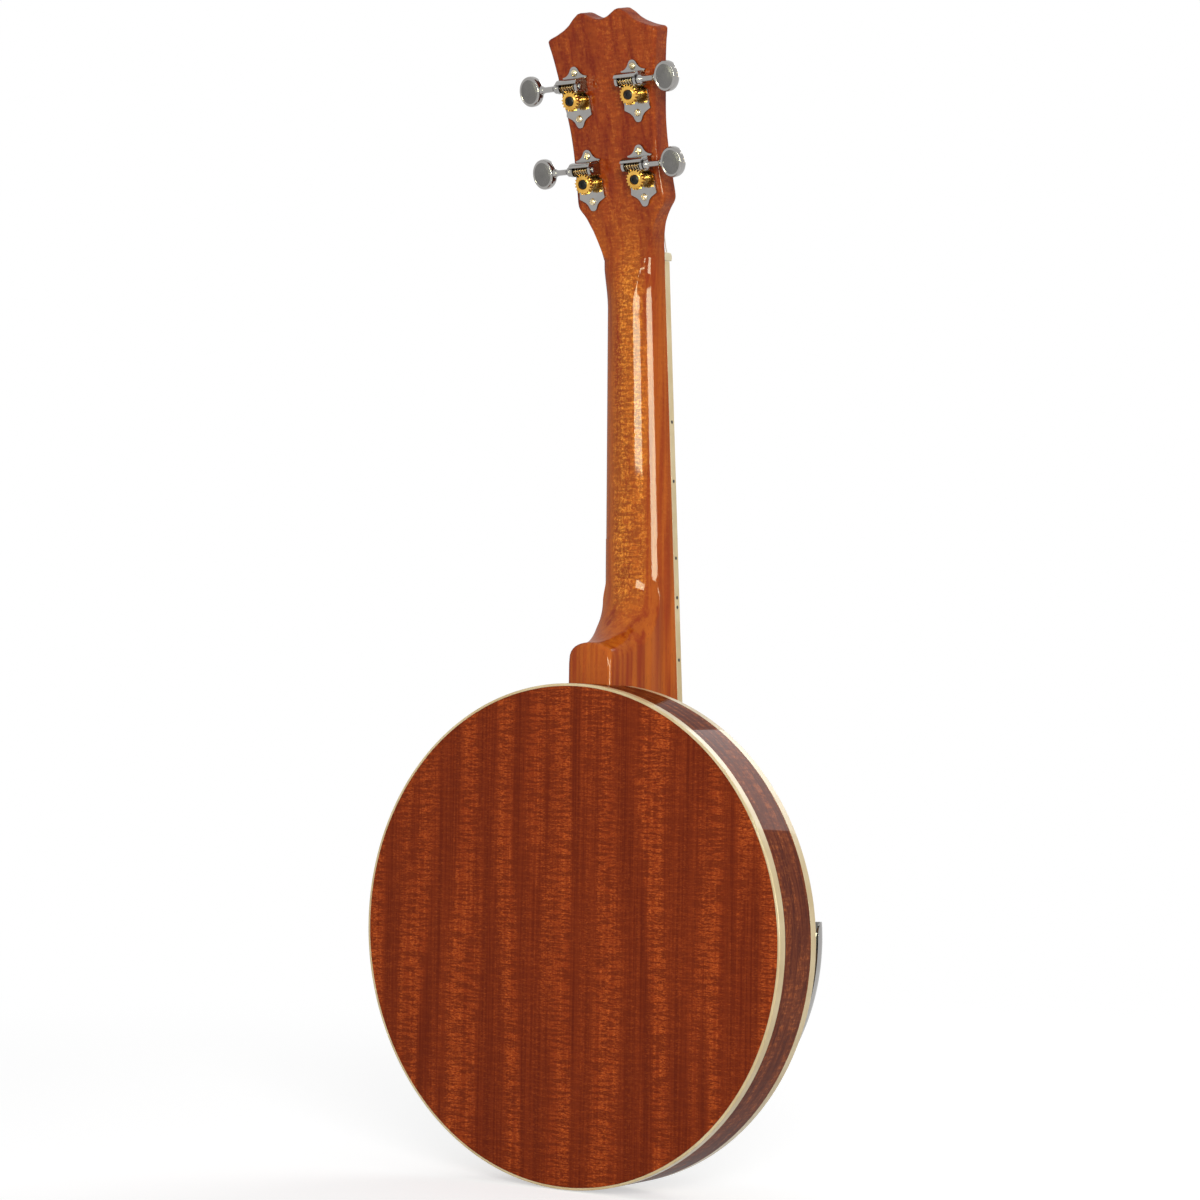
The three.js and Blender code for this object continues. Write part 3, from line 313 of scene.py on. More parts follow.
def weld(piece, *others):
    for other in others:
        union = piece.modifiers.new("weld", "BOOLEAN")
        union.operation = "UNION"
        union.solver = "EXACT"
        union.object = other
        applyLast(piece)
        bpy.data.objects.remove(other, do_unlink=True)


def gather(piece, *others):
    pickOnly(piece)
    for other in others:
        other.select_set(True)
    bpy.ops.object.join()
    return piece


def shift(piece, matrix):
    piece.matrix_world = matrix
    pickOnly(piece)
    bpy.ops.object.transform_apply(location=True, rotation=True, scale=True)
    return piece


def copyOf(piece, name):
    twin = piece.copy()
    twin.data = piece.data.copy()
    twin.name = name
    twin.data.name = name
    bpy.context.scene.collection.objects.link(twin)
    return twin


# Puts a finished piece in its place and says what it rides on, what it stands for and its finish.
def settle(piece, place, finish, body="instrument", nodes=(), sharp=35):
    shift(piece, place)
    bpy.ops.object.shade_smooth_by_angle(angle=math.radians(sharp))
    weigh = piece.modifiers.new("faceWeights", "WEIGHTED_NORMAL")
    weigh.keep_sharp = True
    applyLast(piece)
    if not piece.data.materials:
        piece.data.materials.append(finish)
    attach(piece, body)
    if nodes:
        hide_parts(*nodes)
    return piece


# Rounds the corners of a closed or open line of (a, b) points; a radius for each corner.
def softened(points, radii, closed=True, steps=4):
    made = []
    count = len(points)
    for i, (point, radius) in enumerate(zip(points, radii)):
        here = Vector(point)
        if radius <= 0 or (not closed and i in (0, count - 1)):
            made.append(tuple(here))
            continue
        before = Vector(points[i - 1]) - here
        after = Vector(points[(i + 1) % count]) - here
        half = before.angle(after) / 2
        reach = min(radius / math.tan(half), before.length * 0.49, after.length * 0.49)
        start = here + before.normalized() * reach
        end = here + after.normalized() * reach
        for step in range(steps + 1):
            t = step / steps
            made.append(tuple(start * (1 - t) ** 2 + here * 2 * t * (1 - t) + end * t ** 2))
    return made


# Even steps along a smooth line through the points.
def smoothLine(points, steps, closed=False):
    dots = [Vector(point) for point in points]
    count = len(dots)
    spans = count if closed else count - 1
    made = []
    for span in range(spans):
        get = (lambda k: dots[k % count]) if closed else (lambda k: dots[min(max(k, 0), count - 1)])
        a, b, c, d = (get(span + k) for k in (-1, 0, 1, 2))
        for step in range(steps):
            t = step / steps
            made.append(0.5 * (2 * b + (c - a) * t + (2 * a - 5 * b + 4 * c - d) * t * t + (3 * b - a - 3 * c + d) * t ** 3))
    if not closed:
        made.append(dots[-1])
    return [tuple(dot) for dot in made]


def mirrorHalf(half):
    return list(half) + [(-x, z) for x, z in reversed(half) if x > 0.001]


def easeStep(low, high, value):
    t = min(max((value - low) / (high - low), 0), 1)
    return t * t * (3 - 2 * t)


def softMax(a, b, reach):
    h = max(reach - abs(a - b), 0) / reach
    return max(a, b) + h * h * reach / 4


def hookAngle(number):
    return math.tau * (number + 0.5) / pot["hookCount"]


# Finishes

def addNode(tree, kind, values=None, **options):
    node = tree.nodes.new("ShaderNode" + kind)
    for key, value in options.items():
        setattr(node, key, value)
    for key, value in (values or {}).items():
        socket = node.inputs[key]
        if isinstance(value, bpy.types.NodeSocket):
            tree.links.new(value, socket)
        else:
            socket.default_value = value
    return node


def newFinish(name, settings):
    finish = bpy.data.materials.new(name)
    finish.use_nodes = True
    tree = finish.node_tree
    shader = tree.nodes["Principled BSDF"]
    for key, value in settings.items():
        shader.inputs[key].default_value = value
    return finish, tree, shader


def stretched(tree, scale, turn=(0, 0, 0), offset=(0, 0, 0)):
    where = addNode(tree, "TexCoord")
    values = {"Vector": where.outputs["Object"], "Location": offset, "Rotation": turn, "Scale": scale}
    return addNode(tree, "Mapping", values).outputs["Vector"]


def speckle(tree, scale, detail=3.0, roughness=0.5, turn=(0, 0, 0), offset=(0, 0, 0), bend=0.0):
    values = {
        "Vector": stretched(tree, scale, turn, offset),
        "Scale": 1.0,
        "Detail": detail,
        "Roughness": roughness,
        "Distortion": bend,
    }
    return addNode(tree, "TexNoise", values).outputs[0]


def ramp(tree, value, low, high, darkest=0.0, lightest=1.0):
    values = {"Value": value, "From Min": low, "From Max": high, "To Min": darkest, "To Max": lightest}
    return addNode(tree, "MapRange", values, interpolation_type="SMOOTHSTEP").outputs[0]


def reckon(tree, operation, first, second):
    return addNode(tree, "Math", {0: first, 1: second}, operation=operation).outputs[0]


def tint(tree, share, first, second, way="MIX"):
    node = addNode(tree, "Mix", data_type="RGBA", blend_type=way)
    for place, value in ((0, share), (6, first), (7, second)):
        if isinstance(value, bpy.types.NodeSocket):
            tree.links.new(value, node.inputs[place])
        else:
            node.inputs[place].default_value = value if place == 0 else (*value, 1)
    return node.outputs[2]


def ripple(tree, shader, height, strength, distance):
    values = {"Height": height, "Strength": strength, "Distance": distance}
    bump = addNode(tree, "Bump", values)
    tree.links.new(bump.outputs["Normal"], shader.inputs["Normal"])


# Quarter-sawn mahogany under gloss lacquer: ribbon bands, mottled columns, cross ribs, streaks and open pores.
def makeMahogany(name, look):
    settings = {
        "Roughness": 0.5,
        "Specular IOR Level": 0.0,
        "Coat Weight": look["coat"],
        "Coat Roughness": 0.03,
        "Coat IOR": 1.5,
    }
    finish, tree, shader = newFinish(name, settings)
    turn, offset = look["turn"], look["offset"]
    where = addNode(tree, "SeparateXYZ", {0: addNode(tree, "TexCoord").outputs["Object"]}).outputs
    cloud = speckle(tree, look["bandScale"], 2.0, 0.55, turn, offset, 0.2)
    stripe = reckon(tree, "MULTIPLY", where[0], look["stripeTurn"])
    stripe = reckon(tree, "SINE", reckon(tree, "ADD", stripe, reckon(tree, "MULTIPLY", cloud, look["stripeWander"])), 0.0)
    band = ramp(tree, stripe, -1.0, 0.85)
    column = ramp(tree, speckle(tree, look["columnScale"], 2.0, 0.6, turn, offset), 0.36, 0.62, 0.3, 1.0)
    streak = ramp(tree, speckle(tree, look["streakScale"], 3.0, 0.6, turn, offset), 0.36, 0.64)
    fleck = ramp(tree, speckle(tree, look["fleckScale"], 3.0, 0.7, turn, offset, 0.3), 0.4, 0.66)
    rib = ramp(tree, speckle(tree, look["ribScale"], 2.0, 0.6, turn, offset, 0.5), 0.38, 0.62)
    pore = speckle(tree, look["poreScale"], 2.0, 0.5, turn, offset)
    inBand = ramp(tree, band, 0.0, 1.0, look["fleckInDark"], 1.0)
    if "fleckHalf" in look:  # the mottle stays on the back of the neck, and is fainter on heel and headstock
        aside = reckon(tree, "ABSOLUTE", reckon(tree, "SUBTRACT", where[0], look["fleckMiddle"]), 0.0)
        onBack = ramp(tree, aside, look["fleckHalf"] * 0.75, look["fleckHalf"] * 1.35, 1.0, 0.12)
        onHeel = ramp(tree, where[2], -0.225, -0.19, 0.05, 1.0)
        onHead = ramp(tree, where[2], -0.04, 0.0, 1.0, look["fleckOnHead"])
        wide = ramp(tree, where[2], -0.03, 0.0, 0.0, 1.0)
        onBack = reckon(tree, "MAXIMUM", onBack, wide)
        inBand = reckon(tree, "MULTIPLY", inBand, onBack)
        inBand = reckon(tree, "MULTIPLY", inBand, reckon(tree, "MULTIPLY", onHeel, onHead))
    figure = reckon(tree, "MULTIPLY", fleck, reckon(tree, "MULTIPLY", column, ramp(tree, rib, 0.0, 1.0, 0.35, 1.0)))
    shown = reckon(tree, "MULTIPLY", figure, inBand)
    ribbed = reckon(tree, "MULTIPLY", ramp(tree, rib, 0.0, 1.0, look["ribShare"], 0.0), inBand)
    colour = tint(tree, band, look["dark"], look["middle"])
    colour = tint(tree, reckon(tree, "MULTIPLY", streak, look["streakShare"]), colour, look["light"])
    colour = tint(tree, ribbed, colour, look["deep"])
    colour = tint(tree, shown, colour, look["bright"])
    colour = tint(tree, ramp(tree, pore, 0.6, 0.72, 0.0, look["poreShare"]), colour, look["deep"])
    if "crownColour" in look:
        colour = tint(tree, ramp(tree, where[2], -0.045, 0.03, 0.0, 0.85), colour, tint(tree, 1.0, colour, look["crownColour"], "MULTIPLY"))
    tree.links.new(colour, shader.inputs["Base Color"])
    ripple(tree, shader, pore, 0.03, 0.0002)
    return finish


backWood = makeMahogany("backMahogany", {
    "turn": (0, 0, 0),
    "offset": (0.37, 0.1, 0.05),
    "bandScale": (26, 9, 2.2),
    "stripeTurn": 205.0,
    "stripeWander": 19.0,
    "columnScale": (480, 90, 12),
    "streakScale": (900, 90, 10),
    "fleckScale": (520, 300, 1500),
    "ribScale": (85, 60, 620),
    "poreScale": (2300, 900, 230),
    "fleckInDark": 0.3,
    "dark": (0.132, 0.0150, 0.0033),
    "middle": (0.230, 0.0290, 0.0050),
    "light": (0.300, 0.0440, 0.0075),
    "bright": (0.560, 0.108, 0.0180),
    "deep": (0.070, 0.008, 0.0025),
    "streakShare": 0.38,
    "ribShare": 0.5,
    "poreShare": 0.45,
    "coat": 0.1,
})
sideWood = makeMahogany("sideMahogany", {
    "turn": (0, 0, 0),
    "offset": (0.1, 0.4, 0.2),
    "bandScale": (14, 90, 14),
    "stripeTurn": 0.0,
    "stripeWander": 24.0,
    "columnScale": (20, 420, 20),
    "streakScale": (25, 800, 25),
    "fleckScale": (420, 620, 420),
    "ribScale": (520, 60, 520),
    "poreScale": (260, 2400, 260),
    "fleckInDark": 0.3,
    "dark": (0.085, 0.012, 0.0032),
    "middle": (0.150, 0.026, 0.0060),
    "light": (0.225, 0.045, 0.0100),
    "bright": (0.400, 0.100, 0.0200),
    "deep": (0.045, 0.007, 0.0025),
    "streakShare": 0.4,
    "ribShare": 0.25,
    "poreShare": 0.5,
    "coat": 0.24,
})
neckWood = makeMahogany("neckMahogany", {
    "turn": (0, 0, 0),
    "offset": (0.2, 0.3, 0.6),
    "bandScale": (70, 40, 5.5),
    "stripeTurn": 160.0,
    "stripeWander": 16.0,
    "columnScale": (260, 200, 14),
    "streakScale": (330, 300, 6),
    "fleckScale": (760, 620, 640),
    "ribScale": (170, 150, 620),
    "poreScale": (2100, 1900, 260),
    "fleckInDark": 0.55,
    "fleckMiddle": 0.002,
    "fleckHalf": 0.0095,
    "fleckOnHead": 0.52,
    "dark": (0.285, 0.036, 0.0050),
    "middle": (0.425, 0.080, 0.0080),
    "light": (0.570, 0.155, 0.0130),
    "bright": (0.880, 0.330, 0.0350),
    "deep": (0.130, 0.016, 0.0040),
    "streakShare": 0.45,
    "ribShare": 0.5,
    "poreShare": 0.4,
    "coat": 0.28,
    "crownColour": (0.66, 0.42, 0.58),
})


# Plastic edging: faint long streaks in a warm cream.
def makeCream(name, pale, warm, streakScale, coat=0.4):
    settings = {"Roughness": 0.35, "Specular IOR Level": 0.3, "Coat Weight": coat, "Coat Roughness": 0.05}
    finish, tree, shader = newFinish(name, settings)
    streak = speckle(tree, streakScale, 3.0, 0.6)
    cloud = speckle(tree, (30, 30, 30), 2.0)
    colour = tint(tree, ramp(tree, streak, 0.35, 0.7, 0.0, 0.5), pale, warm)
    colour = tint(tree, ramp(tree, cloud, 0.35, 0.7, 0.0, 0.35), colour, warm)
    tree.links.new(colour, shader.inputs["Base Color"])
    ripple(tree, shader, streak, 0.04, 0.0002)
    return finish


creamEdge = makeCream("creamBinding", (0.66, 0.53, 0.30), (0.50, 0.36, 0.16), (60, 60, 60))
boneWhite = makeCream("nutBone", (0.70, 0.62, 0.42), (0.58, 0.47, 0.26), (900, 90, 90), 0.2)


# Plated metal: fine polishing lines, faint cloudiness and slightly duller low spots.
def makeMetal(name, pale, dull, gloss, lineScale, spread=0.08):
    finish, tree, shader = newFinish(name, {"Metallic": 1.0})
    line = speckle(tree, lineScale, 3.0, 0.6)
    cloud = speckle(tree, (140, 140, 140), 3.0, 0.6)
    colour = tint(tree, ramp(tree, cloud, 0.35, 0.7), pale, dull)
    tree.links.new(colour, shader.inputs["Base Color"])
    rough = reckon(tree, "ADD", ramp(tree, line, 0.3, 0.7, gloss, gloss + spread), ramp(tree, cloud, 0.3, 0.7, 0.0, spread / 2))
    tree.links.new(rough, shader.inputs["Roughness"])
    ripple(tree, shader, line, 0.02, 0.0001)
    return finish


nickel = makeMetal("polishedNickel", (0.345, 0.334, 0.320), (0.315, 0.304, 0.290), 0.06, (300, 300, 2400))
satinNickel = makeMetal("satinNickel", (0.170, 0.164, 0.157), (0.140, 0.135, 0.129), 0.20, (2400, 300, 300))
gold = makeMetal("gearBrass", (0.78, 0.46, 0.10), (0.60, 0.32, 0.06), 0.14, (1500, 1500, 1500))
paleGold = makeMetal("screwBrass", (0.72, 0.62, 0.42), (0.55, 0.46, 0.30), 0.14, (1500, 1500, 1500))
darkSteel = makeMetal("blackScrew", (0.030, 0.029, 0.028), (0.018, 0.018, 0.018), 0.28, (1500, 1500, 1500))
# The worm's nickel is tinted brass-brown: a painted reflection of the brown surroundings it mirrors.
wormPaintedReflection = makeMetal("wormNickelPaintedReflection", (0.46, 0.385, 0.26), (0.30, 0.20, 0.095), 0.11, (1500, 1500, 1500))
fretMetal = makeMetal("fretNickel", (0.62, 0.61, 0.58), (0.52, 0.51, 0.49), 0.14, (2400, 300, 300))


def makeSkin():
    settings = {"Roughness": 0.62, "Specular IOR Level": 0.35}
    finish, tree, shader = newFinish("frostedSkin", settings)
    grain = speckle(tree, (2600, 2600, 2600), 2.0, 0.6)
    cloud = speckle(tree, (18, 18, 18), 3.0, 0.55)
    colour = tint(tree, ramp(tree, cloud, 0.35, 0.7), (0.74, 0.73, 0.69), (0.69, 0.675, 0.62))
    colour = tint(tree, ramp(tree, grain, 0.45, 0.75, 0.0, 0.25), colour, (0.60, 0.585, 0.54))
    tree.links.new(colour, shader.inputs["Base Color"])
    ripple(tree, shader, grain, 0.25, 0.0002)
    return finish


def makePlainWood(name, pale, warm, deep, grainScale, poreScale, poreShare, roughness):
    finish, tree, shader = newFinish(name, {"Roughness": roughness, "Specular IOR Level": 0.3})
    grain = speckle(tree, grainScale, 4.0, 0.6, bend=0.4)
    pore = speckle(tree, poreScale, 2.0, 0.5)
    colour = tint(tree, ramp(tree, grain, 0.35, 0.68), pale, warm)
    colour = tint(tree, ramp(tree, pore, 0.55, 0.7, 0.0, poreShare), colour, deep)
    tree.links.new(colour, shader.inputs["Base Color"])
    ripple(tree, shader, pore, 0.12, 0.0002)
    return finish


maple = makePlainWood("rimMaple", (0.55, 0.34, 0.16), (0.43, 0.24, 0.10), (0.30, 0.15, 0.06), (40, 260, 40), (300, 1800, 300), 0.35, 0.38)
bridgeMaple = makePlainWood("bridgeMaple", (0.60, 0.40, 0.20), (0.50, 0.31, 0.14), (0.34, 0.19, 0.08), (60, 420, 420), (300, 2400, 2400), 0.4, 0.45)
rosewood = makePlainWood("boardRosewood", (0.070, 0.030, 0.017), (0.035, 0.015, 0.010), (0.014, 0.007, 0.005), (420, 420, 16), (2200, 2200, 170), 0.75, 0.48)
ebony = makePlainWood("ebony", (0.022, 0.017, 0.014), (0.014, 0.011, 0.010), (0.006, 0.005, 0.005), (160, 900, 900), (900, 2600, 2600), 0.6, 0.4)


def makeNylon():
    settings = {"Roughness": 0.3, "Specular IOR Level": 0.5, "Subsurface Weight": 0.1}
    finish, tree, shader = newFinish("clearNylon", settings)
    cloud = speckle(tree, (400, 400, 60), 2.0)
    tree.links.new(tint(tree, ramp(tree, cloud, 0.3, 0.7), (0.66, 0.64, 0.58), (0.58, 0.55, 0.48)), shader.inputs["Base Color"])
    return finish


def makePearl():
    settings = {"Roughness": 0.22, "Specular IOR Level": 0.6, "Coat Weight": 0.4, "Coat Roughness": 0.08}
    finish, tree, shader = newFinish("inlayPearl", settings)
    cloud = speckle(tree, (520, 520, 520), 3.0, 0.6, bend=1.5)
    tree.links.new(tint(tree, ramp(tree, cloud, 0.35, 0.65), (0.70, 0.68, 0.62), (0.50, 0.53, 0.52)), shader.inputs["Base Color"])
    return finish


skin = makeSkin()
nylon = makeNylon()
pearl = makePearl()
print("scene: finishes ready")


# Resonator

def heelHalfWidth(height):
    share = min(max(height - heel["back"], 0) / heel["widenDepth"], 1)
    return heel["halfWidth"] + (heel["halfWidthAtNeck"] - heel["halfWidth"]) * share ** 1.3


# The space left for the heel where it passes the resonator and the flange.
def heelPassage(front, clearance=0.45):
    low = heel["back"] - 0.3
    outline = [
        (heelHalfWidth(low) + clearance, low),
        (heelHalfWidth(front) + clearance, front),
        (-heelHalfWidth(front) - clearance, front),
        (-heelHalfWidth(low) - clearance, low),
    ]
    piece = traceLine("heelPassage", [(x, y, 90) for x, y in outline], True)
    bpy.ops.mesh.edge_face_add()
    bpy.ops.mesh.extrude_region_move(TRANSFORM_OT_translate={"value": (0, 0, 50)})
    bpy.ops.object.mode_set(mode="OBJECT")
    sealMesh(piece)
    return piece


def makeResonator():
    outer, thin = pot["outerRadius"], pot["bindingThickness"]
    inner = outer - thin
    steps = pot["roundSteps"]

    plate = addBar("resonatorBack", inner - 0.05, 0.02, pot["backPlate"], steps)
    roundEdges(plate, 0.12, 2)
    settle(plate, potFrame, backWood, nodes=["resonator_back"])

    low, high = pot["backBinding"] + 0.05, pot["depth"] - pot["frontBinding"] - 0.05
    wall = [
        (outer - pot["wall"], pot["backPlate"] + 0.05),
        (inner - 0.05, pot["backPlate"] + 0.05),
        (inner - 0.05, low),
        (outer, low),
        (outer, high),
        (inner - 0.05, high),
        (inner - 0.05, pot["depth"]),
        (outer - pot["wall"], pot["depth"]),
    ]
    side = turnProfile("resonatorSide", softened(wall, [0, 0, 0, 0.2, 0.2, 0, 0, 0.6]), steps)
    carve(side, heelPassage(40))
    roundEdges(side, 0.25, 2, 60)
    settle(side, potFrame, sideWood, nodes=["resonator_side"])

    back = [(inner, 0), (outer, 0), (outer, pot["backBinding"]), (inner, pot["backBinding"])]
    ring = turnProfile("backBinding", softened(back, [0.1, 0.75, 0.15, 0]), steps)
    settle(ring, potFrame, creamEdge, nodes=["back_binding"])

    first = pot["depth"] - pot["frontBinding"]
    front = [(inner, first), (outer, first), (outer, pot["depth"]), (inner, pot["depth"])]
    ring = turnProfile("frontBinding", softened(front, [0, 0.15, 0.7, 0.3]), steps)
    carve(ring, heelPassage(40))
    settle(ring, potFrame, creamEdge, nodes=["front_binding"])


# Pot

def makeRim():
    inner, outer, ledge = pot["rimInner"], pot["rimRadius"], pot["ledgeRadius"]
    profile = [
        (inner, pot["rimBack"]),
        (outer, pot["rimBack"]),
        (outer, 38.1),
        (ledge, 38.1),
        (ledge, 45.1),
        (outer, 45.1),
        (outer, 67.8),
        (outer - 3, 67.8),
        (inner, 62.8),
    ]
    rim = turnProfile("rim", softened(profile, [1.2, 1.2, 0, 0.5, 1.2, 0, 0.6, 1.2, 0.8]), 192)
    hole = addBar("rodHole", 4.3, -120, 120, 32, "Z")
    shift(hole, Matrix.Translation((0, pot["rodHeight"], 0)))
    carve(rim, hole)
    settle(rim, potFrame, maple, nodes=["rim"])

    bands = []  # the glued layers show as thin dark lines on the inside
    for height in (26, 38, 50):
        line = [(inner - 0.02, height), (inner + 0.2, height), (inner + 0.2, height + 0.5), (inner - 0.02, height + 0.5)]
        bands.append(turnProfile("rimLine", line, 192))
    lines = gather(*bands)
    lines.name = "rimGlueLines"
    settle(lines, potFrame, rosewood)


def makeHead():
    plane = pot["headPlane"]
    profile = [
        (0, plane - 0.5),
        (100.8, plane - 0.5),
        (101.75, plane - 1.0),
        (101.9, plane - 2.4),
        (101.9, plane - 10),
        (104.9, plane - 10),
        (104.9, plane - 7),
        (102.4, plane - 6.6),
        (102.4, plane - 1.6),
        (101.9, plane - 0.35),
        (100.8, plane),
        (0, plane),
    ]
    head = turnProfile("drumHead", softened(profile, [0, 0, 0.4, 0, 0, 1.2, 1.2, 0, 0.5, 0.4, 0.5, 0], False), 192, False)
    settle(head, potFrame, skin, nodes=["head"])


def makeTensionHoop():
    inner, outer = pot["hoopInner"], pot["hoopOuter"]
    profile = [(inner, pot["hoopBack"]), (outer, pot["hoopBack"]), (outer, pot["hoopFront"]), (inner, pot["hoopFront"])]
    hoop = turnProfile("tensionHoop", softened(profile, [0.5, 0.6, 0.9, 0.7]), 192)
    for number in range(pot["hookCount"]):
        notch = addBlock("notch", (-2.8, pot["hoopFront"] - 2.2, inner - 3), (2.8, pot["hoopFront"] + 3, outer + 3))
        shift(notch, Matrix.Rotation(hookAngle(number), 4, "Y"))
        carve(hoop, notch)
    settle(hoop, potFrame, nickel, nodes=["tension_hoop"])


def makeHooks():
    circle, radius = pot["hookCircle"], 1.5
    front = pot["hoopFront"]
    bend = [(0, 26.8, 0)] + [(0, y, 0) for y in (30, 40, 50, 60, front - 3.2)]
    bend += [(0, front - 3.2 + 2.1 * math.sin(a), -2.1 + 2.1 * math.cos(a)) for a in (0.3, 0.6, 0.9, 1.2)]
    shank = makePipe("hookShank", bend, radius * 0.98, 4)
    claw = addBlock("hookClaw", (-2.5, front - 1.9, 103.0 - circle), (2.5, front, 1.5))
    roundEdges(claw, 0.6, 3)
    lip = addBlock("hookLip", (-2.2, front - 2.15, 103.0 - circle), (2.2, front - 0.5, 104.0 - circle))
    roundEdges(lip, 0.3, 2)
    nut = addBar("hookNut", 4, 30.5, 35.5, 6)
    roundEdges(nut, 0.35, 2)
    neckOfNut = addBar("hookNutNeck", 2.6, 27.6, 30.6, 24)
    roundEdges(neckOfNut, 0.4, 2)
    weld(nut, neckOfNut)
    washer = addBar("hookWasher", 3.6, 37.82, 38.05, 32)
    hook = gather(shank, claw, lip, nut, washer)
    pitch = 0.75  # the rolled thread shows as fine rings below the nut
    rings = []
    for number in range(4):
        height = 26.95 + pitch * number * 0.2
        rings.append(addBar("hookThread", 1.62, height, height + 0.08, 20))
    hook = gather(hook, *rings)
    hook.name = "hookModel"
    for number in range(pot["hookCount"]):
        twin = copyOf(hook, f"hook{number + 1}")
        turn = Matrix.Rotation(hookAngle(number), 4, "Y") @ Matrix.Translation((0, 0, circle))
        settle(twin, potFrame @ turn, nickel, nodes=[f"hook_{number + 1}"])
    bpy.data.objects.remove(hook, do_unlink=True)


def makeFlange():
    back, front = pot["flangeBack"], pot["flangeFront"]
    inner, outer = pot["rimRadius"] + 0.3, pot["outerRadius"] - 4.5
    profile = [(inner, back), (outer, back), (outer, front), (inner, front)]
    flange = turnProfile("flange", softened(profile, [0.3, 0.5, 0.8, 0.3]), 192)
    tools = [heelPassage(front + 3)]
    middle, half = 120.275, 5.48
    for number in range(pot["hookCount"]):
        hole = addBar("hookHole", 1.8, back - 3, front + 3, 24)
        shift(hole, Matrix.Rotation(hookAngle(number), 4, "Y") @ Matrix.Translation((0, 0, pot["hookCircle"])))
        tools.append(hole)
        if number == pot["hookCount"] - 1:
            continue
        at = hookAngle(number) + math.pi / pot["hookCount"]
        arc = []
        for radius, way in ((middle - half, 1), (middle + half, -1)):
            for step in range(9):
                angle = way * math.radians(7.5) * (step / 4 - 1)
                arc.append((radius * math.sin(angle), radius * math.cos(angle)))
        radii = [1.5 if place in (0, 8, 9, 17) else 0 for place in range(18)]
        window = liftOutline("flangeWindow", softened(arc, radii), back - 3, front + 3)
        tools.append(shift(window, Matrix.Rotation(at, 4, "Y")))
    bolt = addBar("tailBoltHole", 2.3, back - 3, front + 3, 24)
    tools.append(shift(bolt, Matrix.Translation((0, 0, -112.1))))
    carve(flange, *tools)
    roundEdges(flange, 0.3, 2, 50)
    settle(flange, potFrame, nickel, nodes=["flange"])


def makeCoordinatorRod():
    profile = [(0, -106.6), (4, -106.6), (4, -90.8), (7, -90.8), (7, -85.8), (4, -85.8)]
    profile += [(4, 85.8), (7, 85.8), (7, 90.8), (4, 90.8), (4, 115.6), (0, 115.6)]
    radii = [0, 0.6, 0, 0.6, 0.6, 0, 0, 0.6, 0.6, 0, 0.6, 0]
    rod = turnProfile("coordinatorRod", softened(profile, radii, False), 48, False)
    place = Matrix.Translation((0, pot["rodHeight"], 0)) @ Matrix.Rotation(math.pi / 2, 4, "X")
    settle(rod, potFrame @ place, nickel, nodes=["coordinator_rod"])


makeResonator()
makeRim()
makeHead()
makeTensionHoop()
makeHooks()
makeFlange()
makeCoordinatorRod()
print("scene: resonator and pot done")


# Neck, heel and headstock

# How full the section's corners are: an oval along the neck, and nearly a box where the headstock begins.
def cornerPower(distance):
    return neck["cornerAtNut"] + (1 - neck["cornerAtNut"]) * easeStep(-2, 25, distance)


def boardHalfWidth(distance):
    share = distance / neck["boardLength"]
    return neck["halfWidthAtNut"] + (neck["halfWidthAtEnd"] - neck["halfWidthAtNut"]) * share


def neckDepth(distance):
    hand = neck["inHandShare"] * neck["boardLength"]
    nearNut = neck["depthAtNut"] + (neck["depthInHand"] - neck["depthAtNut"]) * easeStep(-6, hand * 1.1, distance)
    return nearNut + (neck["depthAtHeel"] - neck["depthInHand"]) * max(distance - hand, 0) / (neck["boardLength"] - hand)


# How far a point lies outside the heel (below zero inside it), at one height in front of the back.
def heelReach(x, y, z):
    share = min(max(y - heel["back"] - 0.1, 0) / heel["rampDepth"], 1)
    lift = 1 - math.sqrt(max(1 - share * share, 0))
    top = heel["top"] + heel["rise"] * lift
    arch = heel["arch"] + (heel["archAtNeck"] - heel["arch"]) * lift
    half = heelHalfWidth(y)
    above = max(z - (top - arch), 0) / arch
    across = abs(x) / half
    power = 2 / (heel["cornerPower"] + (heel["cornerPowerAtNeck"] - heel["cornerPower"]) * share)
    ring = (across ** power + above ** power) ** (1 / power)
    outside = (ring - 1) * (half if above == 0 else min(half, arch))
    return softMax(outside, heel["back"] - y, heel["edgeRound"])


# Half of the closed section that lies behind the glue face at one height, as (x, y) from front to middle.
def bodySection(z, frontAt, halfWidth, depth):
    made = []
    rampEnd = heel["top"] + heel["rise"]
    fillet = heel["fillet"] * easeStep(rampEnd, rampEnd - 14, z)
    for step in range(321):
        angle = math.pi / 2 * step / 320
        c, s = math.cos(angle), math.sin(angle)
        power = 2 / neck["roundPower"]
        ownReach = 1 / ((c / halfWidth) ** power + (s / depth) ** power) ** (1 / power)
        low, high = 0.0, 90.0
        if z < rampEnd:
            for _ in range(26):
                middle = (low + high) / 2
                if heelReach(middle * c, frontAt - middle * s, z) < 0:
                    low = middle
                else:
                    high = middle
        reach = softMax(ownReach, low, fillet * s * s + 0.01)
        made.append((reach * c, frontAt - reach * s))
    return made


